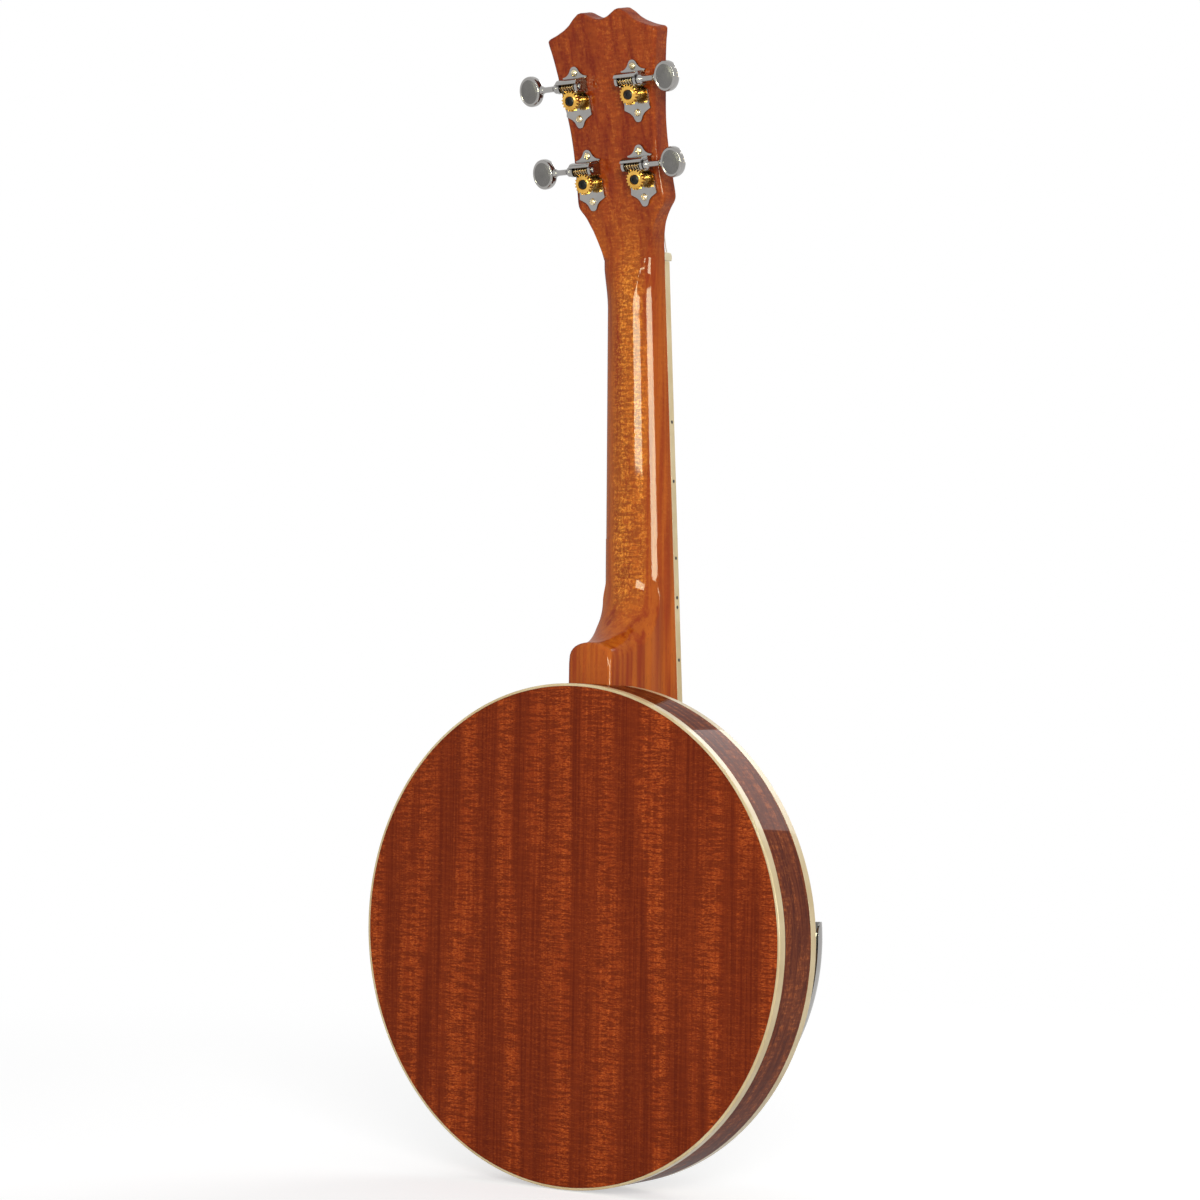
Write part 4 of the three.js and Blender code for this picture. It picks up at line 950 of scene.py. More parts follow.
def headstockEdge(s):
    marks = [
        (-2, 17.2), (3, 17.25), (8, 17.45), (12, 18.0), (16, 18.95), (20, 20.1), (23, 21.5), (26, 23.3), (28.5, 25.1),
        (30.5, 26.8), (32.2, 27.9), (34, 28.4), (36.5, 28.45), (45, 28), (62, 27.5), (75, 28), (90, 29.9), (105, 32),
        (117, 34), (121, 34.9), (124.2, 35.4), (140, 35.5),
    ]
    for (a, low), (b, high), i in zip(marks, marks[1:], range(len(marks))):
        if s <= b:
            before = marks[max(i - 1, 0)]
            after = marks[min(i + 2, len(marks) - 1)]
            t = (s - a) / (b - a)
            slopeLow = (high - before[1]) / (b - before[0]) * (b - a)
            slopeHigh = (after[1] - low) / (after[0] - a) * (b - a)
            t2, t3 = t * t, t * t * t
            return (2 * t3 - 3 * t2 + 1) * low + (t3 - 2 * t2 + t) * slopeLow + (3 * t2 - 2 * t3) * high + (t3 - t2) * slopeHigh
    return marks[-1][1]


def crestHeight(x):
    marks = [
        (0, 131.6), (2.5, 131.9), (5, 132.6), (8, 134.3), (10, 135.5), (12, 135.95), (14, 135.6), (17.2, 133.3),
        (20.5, 130.2), (24, 128.0), (29, 125.8), (33, 124.5), (35.4, 124.0), (40, 123.8),
    ]
    x = abs(x)
    for (a, low), (b, high) in zip(marks, marks[1:]):
        if x <= b:
            t = (x - a) / (b - a)
            return low + (high - low) * t
    return marks[-1][1]


# The headstock is as thick as its board, and thicker at the throat, where the back of the neck runs up into it.
def headDepth(s):
    beyond = neck["depthAtNut"] - headstock["backBelowBoard"] - s * math.tan(headstock["tilt"])
    return headstock["thickness"] + softMax(0, beyond * math.cos(headstock["tilt"]), 1.6)


# Section of the headstock as (x, depth behind its front), from the front edge to the middle of the back.
def headSection(s, halfWidth):
    thick, edge = headDepth(s), headstock["edgeRound"]
    rise = min(max((s - 3) / 21, 0), 1)
    share = min(0.95 * rise ** 0.36, 0.965)
    deepest = thick / math.sqrt(max(1 - share * share, 0.01))
    boxed = easeStep(21, 35, s)
    bend = 2 / (neck["roundPower"] * neck["cornerAtNut"])
    made = []
    for step in range(241):
        d = thick * math.sin(math.pi / 2 * step / 240)
        rounded = halfWidth * max(1 - (d / deepest) ** bend, 0) ** (neck["cornerAtNut"] / 2)
        inset = max(d - (thick - edge), 0)
        square = halfWidth - edge + math.sqrt(max(edge * edge - inset * inset, 0))
        made.append((rounded * (1 - boxed) + square * boxed, d))
    last = made[-1][0]
    made += [(last * (1 - step / 30), thick) for step in range(1, 31)]
    return made


# Points spread along half a section, closer together where it bends.
def spreadOut(line, count):
    dots = [Vector(point) for point in line]
    tidy = [dots[0]]
    for dot in dots[1:]:
        if (dot - tidy[-1]).length > 0.0005:
            tidy.append(dot)
    weight = [0.0]
    for i in range(1, len(tidy)):
        turn = 0
        for j in (i - 1, i):
            if 0 < j < len(tidy) - 1:
                turn += (tidy[j] - tidy[j - 1]).angle(tidy[j + 1] - tidy[j]) / 2
        weight.append(weight[-1] + (tidy[i] - tidy[i - 1]).length + 7 * turn)
    made = []
    at = 0
    for step in range(count):
        goal = weight[-1] * step / (count - 1)
        while at < len(tidy) - 2 and weight[at + 1] < goal:
            at += 1
        span = weight[at + 1] - weight[at]
        share = (goal - weight[at]) / span if span else 0
        made.append(tidy[at].lerp(tidy[at + 1], min(max(share, 0), 1)))
    return made


frontSpans = 44


def wholeRing(half, front, place):
    backward = [(point.x, point.y) for point in half]
    ring = backward + [(-x, y) for x, y in reversed(backward[:-1])]
    edge = backward[0][0]
    ring += [(-edge + 2 * edge * step / frontSpans, front) for step in range(1, frontSpans)]
    return [place(x, y) for x, y in ring]


def makeNeck():
    count = 61
    rings = []
    nutPlace = Vector(neck["nutPlace"])
    inNeck = Matrix.Translation(nutPlace) @ Matrix.Rotation(neck["tilt"], 4, "X")
    inHead = potFrame.inverted() @ headstockFrame
    frontAt = lambda z: nutPlace.y + (nutPlace.z - z) * math.tan(neck["tilt"])

    heights = [100 + 4 * step for step in range(12)] + [146, 148.5, 150.5, 152, 153.2, 154.1, 154.7, 155.1, 155.35]
    ramp = [math.radians(1.2 + 2.4 * step) for step in range(37)]
    heights += [heel["top"] + heel["rise"] * (1 - math.cos(turn)) for turn in ramp]
    heights += [heel["top"] + heel["rise"] + 1.6 * step for step in range(8)]
    for z in sorted(heights):
        distance = (nutPlace.z - z) / math.cos(neck["tilt"])
        half = bodySection(z, frontAt(z), boardHalfWidth(distance), neckDepth(distance))
        rings.append(wholeRing(spreadOut(half, count), frontAt(z), lambda x, y: Vector((x, y, z))))

    distance = 163
    while distance > 1.5:
        wide, deep, corner = boardHalfWidth(distance), neckDepth(distance), cornerPower(distance)
        half = []
        for step in range(321):
            angle = math.pi / 2 * step / 320
            half.append((wide * math.cos(angle) ** corner, -deep * math.sin(angle) ** (neck["roundPower"] * corner)))
        rings.append(wholeRing(spreadOut(half, count), 0, lambda x, y: inNeck @ Vector((x, y, -distance))))
        distance -= 3.5 if distance > 20 else 2

    thick = headstock["thickness"]
    levels = [3 + 0.8 * step for step in range(44)] + [39 + 3 * step for step in range(24)]
    for s in levels:
        half = [(x, thick - d) for x, d in headSection(s, headstockEdge(s))]
        rings.append(wholeRing(spreadOut(half, count), thick, lambda x, y: inHead @ Vector((x, y, s))))

    last = levels[-1]
    for step in range(1, 9):
        share = step / 8
        edge = headstockEdge(last + (124 - last) * share)
        half = [(x, thick - d) for x, d in headSection(last, edge)]
        lift = lambda x: last + (crestHeight(x) - 1.6 - last) * share
        rings.append(wholeRing(spreadOut(half, count), thick, lambda x, y: inHead @ Vector((x, y, lift(x)))))
    middle = thick / 2
    for step in range(1, 5):  # the crest's rounded rim, then its end
        turn = math.pi / 2 * step / 4
        inward, up = 1.6 * (1 - math.cos(turn)), 1.6 * math.sin(turn)
        edge = headstockEdge(124)
        half = [(x * (edge - inward) / edge, thick - d) for x, d in headSection(last, edge)]
        squeeze = (middle - inward) / middle
        def place(x, y, squeeze=squeeze, up=up):
            return inHead @ Vector((x, middle + (y - middle) * squeeze, crestHeight(x) - 1.6 + up))
        rings.append(wholeRing(spreadOut(half, count), thick, place))
    span = 2 * (edge - 1.6) / frontSpans

    def onCrest(x, y):
        x = round((x + edge - 1.6) / span) * span - edge + 1.6
        return inHead @ Vector((x, middle, crestHeight(x)))
    rings.append(wholeRing(spreadOut(half, count), thick, onCrest))
    piece = wrapRings("neck", rings)

    nutSeat = addBlock("nutSeat", (-40, 0, 0), (40, 6, 4.7))
    shift(nutSeat, inNeck)
    space = [(0, -3), (101.9, -3), (101.9, 37.8), (105.9, 37.8), (105.9, 45.4), (101.9, 45.4), (101.9, 58.3), (106.2, 58.3), (106.2, 90), (0, 90)]
    potSpace = turnProfile("potSpace", space, 192, False)
    tools = [nutSeat, potSpace]
    for side, across, height in ((1, 16.9, 45.5), (1, 19, 90.3), (-1, 19, 90.3), (-1, 16.9, 45.5)):
        hole = addBar("postHole", 5.2, -3, 15, 32)
        tools.append(shift(hole, inHead @ Matrix.Translation((side * across, 0, height))))
    rodHole = addBar("rodHole", 4.3, 90, 116, 32, "Z")
    tools.append(shift(rodHole, Matrix.Translation((0, pot["rodHeight"], 0))))
    carve(piece, *tools)
    settle(piece, potFrame, neckWood, nodes=["neck"], sharp=40)


# Fretboard and nut

def makeFretboard():
    long, thick = neck["boardLength"], neck["boardThickness"]
    binding = 1.5

    def strip(name, lowEdge, highEdge, low, high, first=0.0, final=long):
        rings = []
        for distance in (first, final):
            a, b = lowEdge(distance), highEdge(distance)
            rings.append([Vector(point) for point in ((a, low, -distance), (b, low, -distance), (b, high, -distance), (a, high, -distance))])
        return wrapRings(name, rings)

    board = strip("fretboard", lambda d: -boardHalfWidth(d) + binding, lambda d: boardHalfWidth(d) - binding, 0.1, thick)
    slots = []
    for number in range(1, 20):
        distance = strings["scale"] * (1 - 2 ** (-number / 12))
        slots.append(addBlock("slot", (-40, thick - 1, -distance - 0.3), (40, thick + 1, -distance + 0.3)))
    roundEdges(board, 0.1, 1)
    carve(board, *slots)
    settle(board, neckFrame, rosewood, nodes=["fretboard"])

    for side, name in ((1, "boardBindingRight"), (-1, "boardBindingLeft")):
        low = lambda d: side * (boardHalfWidth(d) - binding) + 0.02 * side
        high = lambda d: side * boardHalfWidth(d)
        edge = strip(name, low, high, 0.1, thick)
        roundEdges(edge, 0.45, 3, 50)
        settle(edge, neckFrame, creamEdge)

    frets = []
    for number in range(1, 20):
        distance = strings["scale"] * (1 - 2 ** (-number / 12))
        half = boardHalfWidth(distance) - 0.6
        bead = [(-1.0, 0), (-0.93, 0.45), (-0.62, 0.83), (0, 1.0), (0.62, 0.83), (0.93, 0.45), (1.0, 0)]
        line = [(0, thick + y, z - distance) for z, y in bead]
        fret = traceLine("fret", line, True)
        bpy.ops.mesh.edge_face_add()
        bpy.ops.transform.translate(value=(-half, 0, 0))
        bpy.ops.mesh.extrude_region_move(TRANSFORM_OT_translate={"value": (2 * half, 0, 0)})
        pickEdges(fret, lambda a, b: abs(abs(a.x) - half) < 0.01 and abs(abs(b.x) - half) < 0.01 and max(a.y, b.y) > thick + 0.3)
        bpy.ops.mesh.bevel(offset=0.5, segments=2, affect="EDGES")
        bpy.ops.object.mode_set(mode="OBJECT")
        sealMesh(fret)
        frets.append(fret)
    wires = gather(*frets)
    wires.name = "fretWires"
    settle(wires, neckFrame, fretMetal, sharp=50)

    faceDots, sideDots = [], []
    for number, places in ((5, (0,)), (7, (0,)), (10, (0,)), (12, (-6.5, 6.5)), (15, (0,))):
        distance = strings["scale"] * (1 - 2 ** (-(number - 0.5) / 12))
        for x in places:
            dot = addBar("dot", 2.6, thick - 0.8, thick + 0.04, 48)
            roundEdges(dot, 0.06, 1)
            faceDots.append(shift(dot, Matrix.Translation((x, 0, -distance))))
        spots = (0,) if len(places) == 1 else (-2.6, 2.6)
        for offset in spots:
            for side in (1, -1):
                at = distance + offset
                start, end = side * (boardHalfWidth(at) - 0.6), side * (boardHalfWidth(at) + 0.03)
                spot = addBar("spot", 0.95, min(start, end), max(start, end), 24, "X")
                sideDots.append(shift(spot, Matrix.Translation((0, thick / 2, -at))))
    dots = gather(*faceDots)
    dots.name = "positionDots"
    settle(dots, neckFrame, pearl)
    spots = gather(*sideDots)
    spots.name = "sideDots"
    settle(spots, neckFrame, ebony)


def makeNut():
    half, thick = neck["halfWidthAtNut"], neck["boardThickness"]
    outline = [(0.1, 0.1), (4.6, 0.1), (4.6, thick + 1.2), (3.1, thick + 2.25), (0.9, thick + 2.3), (0.1, thick + 1.7)]
    line = [(-half, y, z) for z, y in softened(outline, [0, 0, 1.0, 1.2, 0.7, 0.5])]
    nut = traceLine("nut", line, True)
    bpy.ops.mesh.edge_face_add()
    bpy.ops.mesh.extrude_region_move(TRANSFORM_OT_translate={"value": (2 * half, 0, 0)})
    bpy.ops.object.mode_set(mode="OBJECT")
    sealMesh(nut)
    roundEdges(nut, 0.35, 3, 60)
    slots = []
    for order in range(4):
        x = (1.5 - order) * strings["spreadAtNut"]
        slot = addBar("nutSlot", 0.5, -3, 9, 16, "Z")
        slots.append(shift(slot, Matrix.Translation((x, thick + strings["overBoardAtNut"], 0))))
        mouth = addBlock("nutMouth", (x - 0.5, thick + strings["overBoardAtNut"], -3), (x + 0.5, thick + 4, 9))
        slots.append(mouth)
    carve(nut, *slots)
    settle(nut, neckFrame, boneWhite, nodes=["nut"])


makeNeck()
makeFretboard()
makeNut()
print("scene: neck and fretboard done")


# Bridge, tailpiece, armrest and strings

nutPlace = Vector(neck["nutPlace"])
bridgeHeight = nutPlace.z - strings["scale"] * math.cos(neck["tilt"])
stringAtBridge = (
    nutPlace.y + neck["boardThickness"] / math.cos(neck["tilt"])
    + (nutPlace.z - bridgeHeight) * math.tan(neck["tilt"]) + strings["overBoardAtBridge"]
)


def makeBridge():
    look = {"halfWidth": 27, "thickness": 4, "topThickness": 2.4, "foot": 68.9, "capHeight": 1.7}
    top = stringAtBridge + 0.75
    high = top - look["foot"]
    shares = [(0, 0), (0.2, 0), (0.235, 0.2), (0.3, 0.37), (0.46, 0.44), (0.61, 0.37), (0.685, 0.2), (0.72, 0), (1, 0), (0.985, 0.22), (0.93, 0.5), (0.84, 0.82), (0.82, 1)]
    half = [(x * look["halfWidth"], look["foot"] + y * high) for x, y in shares]
    softer = softened([(x, y) for x, y in half], [0, 0.6, 2, 2, 4, 2, 2, 0.6, 0.8, 2, 4, 2, 0], False)
    outline = softer + [(-x, y) for x, y in reversed(softer) if x > 0.001]
    body = traceLine("bridge", [(x, y, -look["thickness"] / 2) for x, y in outline], True)
    bpy.ops.mesh.edge_face_add()
    bpy.ops.mesh.extrude_region_move(TRANSFORM_OT_translate={"value": (0, 0, look["thickness"])})
    bpy.ops.mesh.select_all(action="SELECT")
    level = top - look["capHeight"]
    bpy.ops.mesh.bisect(plane_co=(0, level, 0), plane_no=(0, 1, 0), use_fill=True, clear_outer=True)
    bpy.ops.object.mode_set(mode="OBJECT")
    sealMesh(body)
    thin = look["topThickness"] / look["thickness"]
    for vertex in body.data.vertices:
        share = (vertex.co.y - look["foot"]) / high
        vertex.co.z *= 1 + (thin - 1) * share
    roundEdges(body, 0.35, 3, 40)
    wide = 0.82 * look["halfWidth"]
    cap = addBlock("bridgeCap", (-wide - 0.4, level + 0.01, -1.35), (wide + 0.4, top, 1.35))
    roundEdges(cap, 0.3, 3)
    slots = []
    for order in range(4):
        x = (1.5 - order) * strings["spreadAtBridge"]
        slot = addBar("bridgeSlot", 0.46, -4, 4, 16, "Z")
        slots.append(shift(slot, Matrix.Translation((x, stringAtBridge, 0))))
        slots.append(addBlock("bridgeMouth", (x - 0.46, stringAtBridge, -4), (x + 0.46, top + 2, 4)))
    carve(cap, *slots)
    place = potFrame @ Matrix.Translation((0, 0, bridgeHeight))
    settle(body, place, bridgeMaple, nodes=["bridge"])
    settle(cap, place, ebony)


def makeTailpiece():
    back, front, tip = 75.0, 76.6, 79.9
    half = [(0, -tip), (24, -tip), (23.2, -83.5), (21, -88.6), (15, -90.6), (9.5, -92.6), (7, -96.5), (7, -107.2), (0, -107.2)]
    outline = softened(half, [0, 1.6, 4, 3, 4, 4, 5, 0.4, 0], False, 5)
    outline += [(-x, z) for x, z in reversed(outline) if x > 0.001]
    plate = liftOutline("tailpiece", outline, back, front)
    leg = addBlock("tailpieceLeg", (-7, 52.9, -108.1), (7, front, -106.5))
    roundEdges(leg, 0.55, 3)
    foot = liftOutline("tailpieceFoot", softened([(-7, -106.6), (7, -106.6), (7, -116.1), (-7, -116.1)], [0, 0, 4.5, 4.5], True, 6), 52.9, 54.5)
    weld(plate, leg, foot)
    hole = addBar("boltHole", 2.3, 50, 57, 24)
    tools = [shift(hole, Matrix.Translation((0, 0, -112.1)))]
    for order in range(4):
        x = (1.5 - order) * strings["spreadAtBridge"]
        slot = addBlock("stringSlot", (x - 0.55, back - 1, -89.4), (x + 0.55, front + 1, -85.2))
        roundEdges(slot, 0.5, 2)
        tools.append(slot)
    carve(plate, *tools)
    roundEdges(plate, 0.3, 2, 50)
    settle(plate, potFrame, nickel, nodes=["tailpiece"])

    roll = addBar("tailpieceRoll", 1.2, -23, 23, 32, "X")
    roundEdges(roll, 0.4, 2)
    settle(roll, potFrame @ Matrix.Translation((0, back - 0.6, -tip - 1.3)), nickel)

    shank = addBar("tailpieceBolt", 2, 26.8, 58, 32)
    roundEdges(shank, 0.4, 2)
    head = addBar("boltHead", 3.2, 54.8, 58.8, 6)
    nut = addBar("boltNut", 4, 30.5, 35.5, 6)
    roundEdges(head, 0.3, 2)
    roundEdges(nut, 0.35, 2)
    bolt = gather(shank, head, nut)
    settle(bolt, potFrame @ Matrix.Translation((0, 0, -112.1)), nickel, nodes=["tailpiece_bolt"])


def makeArmrest():
    look = {"start": math.radians(85), "end": math.radians(126), "thickness": 1.2, "corner": 7.0, "steps": 60}
    section = smoothLine([(96.0, 75.0), (104.0, 76.4), (110.3, 75.7), (114.5, 72.5), (115.4, 66.8)], 24)
    middle = 105.0
    reach = (look["end"] - look["start"]) * middle

    def at(t):
        place = min(max(t, 0), 1) * (len(section) - 1)
        i = min(int(place), len(section) - 2)
        return Vector(section[i]).lerp(Vector(section[i + 1]), place - i)

    rings = []
    for step in range(look["steps"] + 1):
        t = 0.5 - 0.5 * math.cos(math.pi * step / look["steps"])
        along = t * reach
        near = min(along, reach - along)
        corner = look["corner"]
        inset = corner - math.sqrt(max(corner ** 2 - (corner - near) ** 2, 0)) if near < corner else 0
        low, high = inset / 23.0, 1 - inset / 23.0
        angle = look["start"] + (look["end"] - look["start"]) * t
        top = [at(low + (high - low) * i / 24) for i in range(25)]
        under = []
        for i, dot in enumerate(top):
            before, after = top[max(i - 1, 0)], top[min(i + 1, 24)]
            way = (after - before).normalized()
            under.append(dot + Vector((way.y, -way.x)) * look["thickness"])
        loop = top + under[::-1]
        rings.append([Vector((dot.x * math.sin(angle), dot.y, dot.x * math.cos(angle))) for dot in loop])
    rest = wrapRings("armrest", rings)
    roundEdges(rest, 0.35, 3, 60)
    parts = []
    for angle in (90, 120):
        leg = addBlock("armrestLeg", (-5, 38.1, 111.8), (5, 71.4, 114.2))
        roundEdges(leg, 0.6, 3)
        slot = addBlock("legSlot", (-1.2, 42, 108), (1.2, 56, 118))
        roundEdges(slot, 1.0, 4)
        carve(leg, slot)
        foot = addBlock("armrestFoot", (-5, 38.1, 109.8), (5, 39.7, 114.0))
        roundEdges(foot, 0.4, 2)
        screw = addBar("armrestScrew", 2.6, 114.2, 115.3, 32, "Z")
        roundEdges(screw, 0.5, 3)
        groove = addBlock("screwGroove", (-3, -0.3, 114.8), (3, 0.3, 117))
        carve(screw, groove)
        shift(screw, Matrix.Translation((0, 49, 0)))
        for part in (leg, foot, screw):
            parts.append(shift(part, Matrix.Rotation(math.radians(angle), 4, "Y")))
    whole = gather(rest, *parts)
    settle(whole, potFrame, nickel, nodes=["armrest"])


tuners = [
    {"number": 1, "side": 1, "across": 16.9, "height": 45.5, "order": 0},
    {"number": 2, "side": 1, "across": 19.0, "height": 90.3, "order": 1},
    {"number": 3, "side": -1, "across": 19.0, "height": 90.3, "order": 2},
    {"number": 4, "side": -1, "across": 16.9, "height": 45.5, "order": 3},
]
winding = {"radius": 3.55, "top": 17.3, "bottom": 13.85, "loops": 3, "hole": 20.75}


def makeStrings():
    inNeck = Matrix.Translation(nutPlace) @ Matrix.Rotation(neck["tilt"], 4, "X")
    inHead = potFrame.inverted() @ headstockFrame
    for tuner in tuners:
        side, offset = tuner["side"], 1.5 - tuner["order"]
        post = inHead @ Vector((side * (tuner["across"] - winding["radius"]), winding["top"], tuner["height"]))
        onNut = [inNeck @ Vector((offset * strings["spreadAtNut"], neck["boardThickness"] + rise, z)) for rise, z in ((1.55, 4.4), (1.68, 2.3), (1.7, 0.2))]
        x = offset * strings["spreadAtBridge"]
        onBridge = [Vector((x, stringAtBridge + drop, bridgeHeight + z)) for drop, z in ((0, 1.2), (0.02, 0), (-0.12, -1.2))]
        tail = [Vector((x, 77.25, -79.9)), Vector((x, 77.2, -84.2)), Vector((x, 76.6, -86.0)), Vector((x, 75.6, -86.6))]
        route = [post] + onNut + onBridge + tail
        line = makePipe(f"string{tuner['number']}", route, strings["radius"], 3)
        knot = addBar("stringKnot", 1.15, -1.1, 1.1, 20, "X")
        roundEdges(knot, 0.6, 3)
        shift(knot, Matrix.Translation((x, 74.0, -86.8)))
        line = gather(line, knot)
        settle(line, potFrame, nylon, nodes=[f"string_{tuner['number']}"], sharp=50)

        turns = []
        steps = 28 * winding["loops"]
        for step in range(steps + 1):
            angle = math.tau * winding["loops"] * step / steps
            y = winding["top"] + (winding["bottom"] - winding["top"]) * step / steps
            turns.append((-side * winding["radius"] * math.cos(angle), y, winding["radius"] * math.sin(angle)))
        coil = makePipe("winding", turns, strings["radius"], 3)
        fall = winding["hole"] - winding["top"]
        lead = [(side * 5.2, winding["hole"] + 0.5, 0.3), (side * 4.0, winding["hole"] + 0.1, 0), (side * 2.6, winding["hole"], 0)]
        lead += [(-side * 2.6, winding["hole"], 0), (-side * 3.3, winding["hole"] - 0.15, -0.4)]
        for step in range(1, 13):
            angle = -0.25 - (math.pi - 0.25) * step / 12
            lead.append((-side * 3.5 * math.cos(angle), winding["hole"] - 0.3 - (fall - 0.75) * step / 12, 3.5 * math.sin(angle)))
        loose = makePipe("windingEnd", lead, strings["radius"], 3)
        coil = gather(coil, loose)
        coil.name = f"tuner{tuner['number']}Winding"
        place = headstockFrame @ Matrix.Translation((side * tuner["across"], 0, tuner["height"]))
        settle(coil, place, nylon, f"tuner_{tuner['number']}_wheel", [f"tuner_{tuner['number']}_winding"], 50)


# Tuners: each piece is modelled once and copied four times

tunerSizes = {
    "plateThickness": 1.2,
    "plateGap": 0.3,
    "wormHeight": 7.4,
    "wormToGear": 7.4,
    "earInside": 5.12,
    "earOutside": 6.72,
    "earHalfWidth": 3.1,
    "pitch": 1.64759,
    "crest": 2.62,
    "root": 1.75,
    "gearTop": 9.0,
    "gearBottom": 5.8,
    "buttonReach": 25,
    "post": 2.9,
    "postTop": 24.2,
    "headFront": 11.7,
}


def makePlate():
    look = tunerSizes
    back, front = -look["plateGap"] - look["plateThickness"], -look["plateGap"]
    half = [
        (0, -15), (1.5, -14.7), (2.35, -13.3), (3.0, -11.8), (4.6, -10.2), (6.6, -9.1), (8.2, -8.25),
        (7.9, -6.0), (7.6, -1.5), (7.5, 1.9),
        (5.3, 3.2), (5.25, 6.8), (5.3, 10.3),
        (6.6, 11.4), (8.3, 12.35), (5.6, 13.0), (4.2, 13.9), (3.1, 15.2), (2.2, 16.9), (1.2, 17.75), (0, 18),
    ]
    radii = [0, 1.2, 1.5, 3, 3, 2, 0.5, 3, 3, 0.6, 0.9, 0, 0.9, 2, 0.35, 2.5, 3, 3, 1.4, 1.4, 0]
    outline = softened(half, radii, False, 4)
    outline += [(-x, z) for x, z in reversed(outline) if x > 0.001]
    plate = liftOutline("plateModel", outline, back, front)
    parts = []
    for side in (-1, 1):
        low, high = sorted((side * look["earInside"], side * look["earOutside"]))
        ear = [(look["wormToGear"] - look["earHalfWidth"], front), (look["wormToGear"] - look["earHalfWidth"], -look["wormHeight"])]
        for step in range(1, 16):
            angle = math.pi * step / 16
            ear.append((look["wormToGear"] - look["earHalfWidth"] * math.cos(angle), -look["wormHeight"] - look["earHalfWidth"] * math.sin(angle)))
        ear += [(look["wormToGear"] + look["earHalfWidth"], -look["wormHeight"]), (look["wormToGear"] + look["earHalfWidth"], front)]
        tab = traceLine("ear", [(low, y, z) for z, y in ear], True)
        bpy.ops.mesh.edge_face_add()
        bpy.ops.mesh.extrude_region_move(TRANSFORM_OT_translate={"value": (high - low, 0, 0)})
        bpy.ops.object.mode_set(mode="OBJECT")
        sealMesh(tab)
        parts.append(tab)
    # the wall that stands above the worm and curls over it
    wall = [(10.7, front), (10.72, -6.5)]
    for step in range(1, 10):
        angle = math.radians(64) * step / 9
        wall.append((look["wormToGear"] + 3.32 * math.cos(angle), -look["wormHeight"] - 3.32 * math.sin(angle)))
    outerWall = [(11.85, front), (11.85, -6.5)]
    for step in range(1, 10):
        angle = math.radians(64) * step / 9
        outerWall.append((look["wormToGear"] + 4.3 * math.cos(angle), -look["wormHeight"] - 4.3 * math.sin(angle)))
    cover = traceLine("cover", [(-look["earOutside"], y, z) for z, y in wall + outerWall[::-1]], True)
    bpy.ops.mesh.edge_face_add()
    bpy.ops.mesh.extrude_region_move(TRANSFORM_OT_translate={"value": (2 * look["earOutside"], 0, 0)})
    bpy.ops.object.mode_set(mode="OBJECT")
    sealMesh(cover)
    parts.append(cover)
    weld(plate, *parts)
    bore = addBar("postBore", look["post"] + 0.3, -3, 1, 40)
    bearing = addBar("bearing", 2.0, -9, 9, 32, "X")
    shift(bearing, Matrix.Translation((0, -look["wormHeight"], look["wormToGear"])))
    carve(plate, bore, bearing)
    roundEdges(plate, 0.16, 2, 50)
    return plate


def makePlateScrew():
    dome = [(0, -2.62), (0.7, -2.56), (1.3, -2.36), (1.75, -2.0), (2.0, -1.52), (2.0, -0.9), (0, -0.9)]
    screw = turnProfile("screwModel", dome, 40, False)
    groove = addBlock("groove", (-2.4, -3, -0.26), (2.4, -2.05, 0.26))
    cross = addBlock("groove", (-0.26, -3, -1.3), (0.26, -2.05, 1.3))
    carve(screw, groove, cross)
    return screw


def makeGear():
    look = tunerSizes
    outline = []
    for tooth in range(18):
        middle = math.tau * tooth / 18
        for radius, width in ((4.55, -0.92), (5.2, -0.7), (5.6, -0.4), (5.6, 0.4), (5.2, 0.7), (4.55, 0.92)):
            angle = middle + width / 2 / radius
            outline.append((radius * math.sin(angle), radius * math.cos(angle)))
    back = -look["gearTop"] + 0.25
    wheel = liftOutline("gearModel", outline, back, -look["gearBottom"])
    shape = [(0, back - 0.1), (4.2, back - 0.1), (4.75, back), (5.65, back + 0.5), (5.65, -6.2), (5.3, -5.7), (0, -5.7)]
    turned = turnProfile("gearShape", shape, 90, False)
    carve(wheel, turned, how="INTERSECT")
    hub = [(0, -1.8), (3.4, -1.8), (3.4, -4.3), (3.15, -4.55), (3.15, -5.1), (3.4, -5.35), (3.4, -7.4), (0, -7.4)]
    barrel = turnProfile("hub", hub, 48, False)
    rim = [(0, -9.0), (3.4, -9.0), (3.7, -8.85), (3.8, -8.5), (3.8, -8.0), (0, -8.0)]
    collar = turnProfile("collar", rim, 60, False)
    weld(wheel, barrel, collar)
    bore = addBar("bore", 2.2, -12, 1, 40)
    recess = addBar("recess", 2.86, -12, -8.1, 40)
    carve(wheel, bore, recess)
    roundEdges(wheel, 0.05, 1, 40)
    return wheel


def makeSocketScrew():
    head = [(0, -9.1), (1.8, -9.1), (2.35, -8.95), (2.58, -8.7), (2.58, -8.35), (0, -8.35)]
    screw = turnProfile("socketModel", head, 40, False)
    socket = addBar("socket", 1.35, -12, -8.55, 6)
    carve(screw, socket)
    roundEdges(screw, 0.08, 2, 40)
    return screw


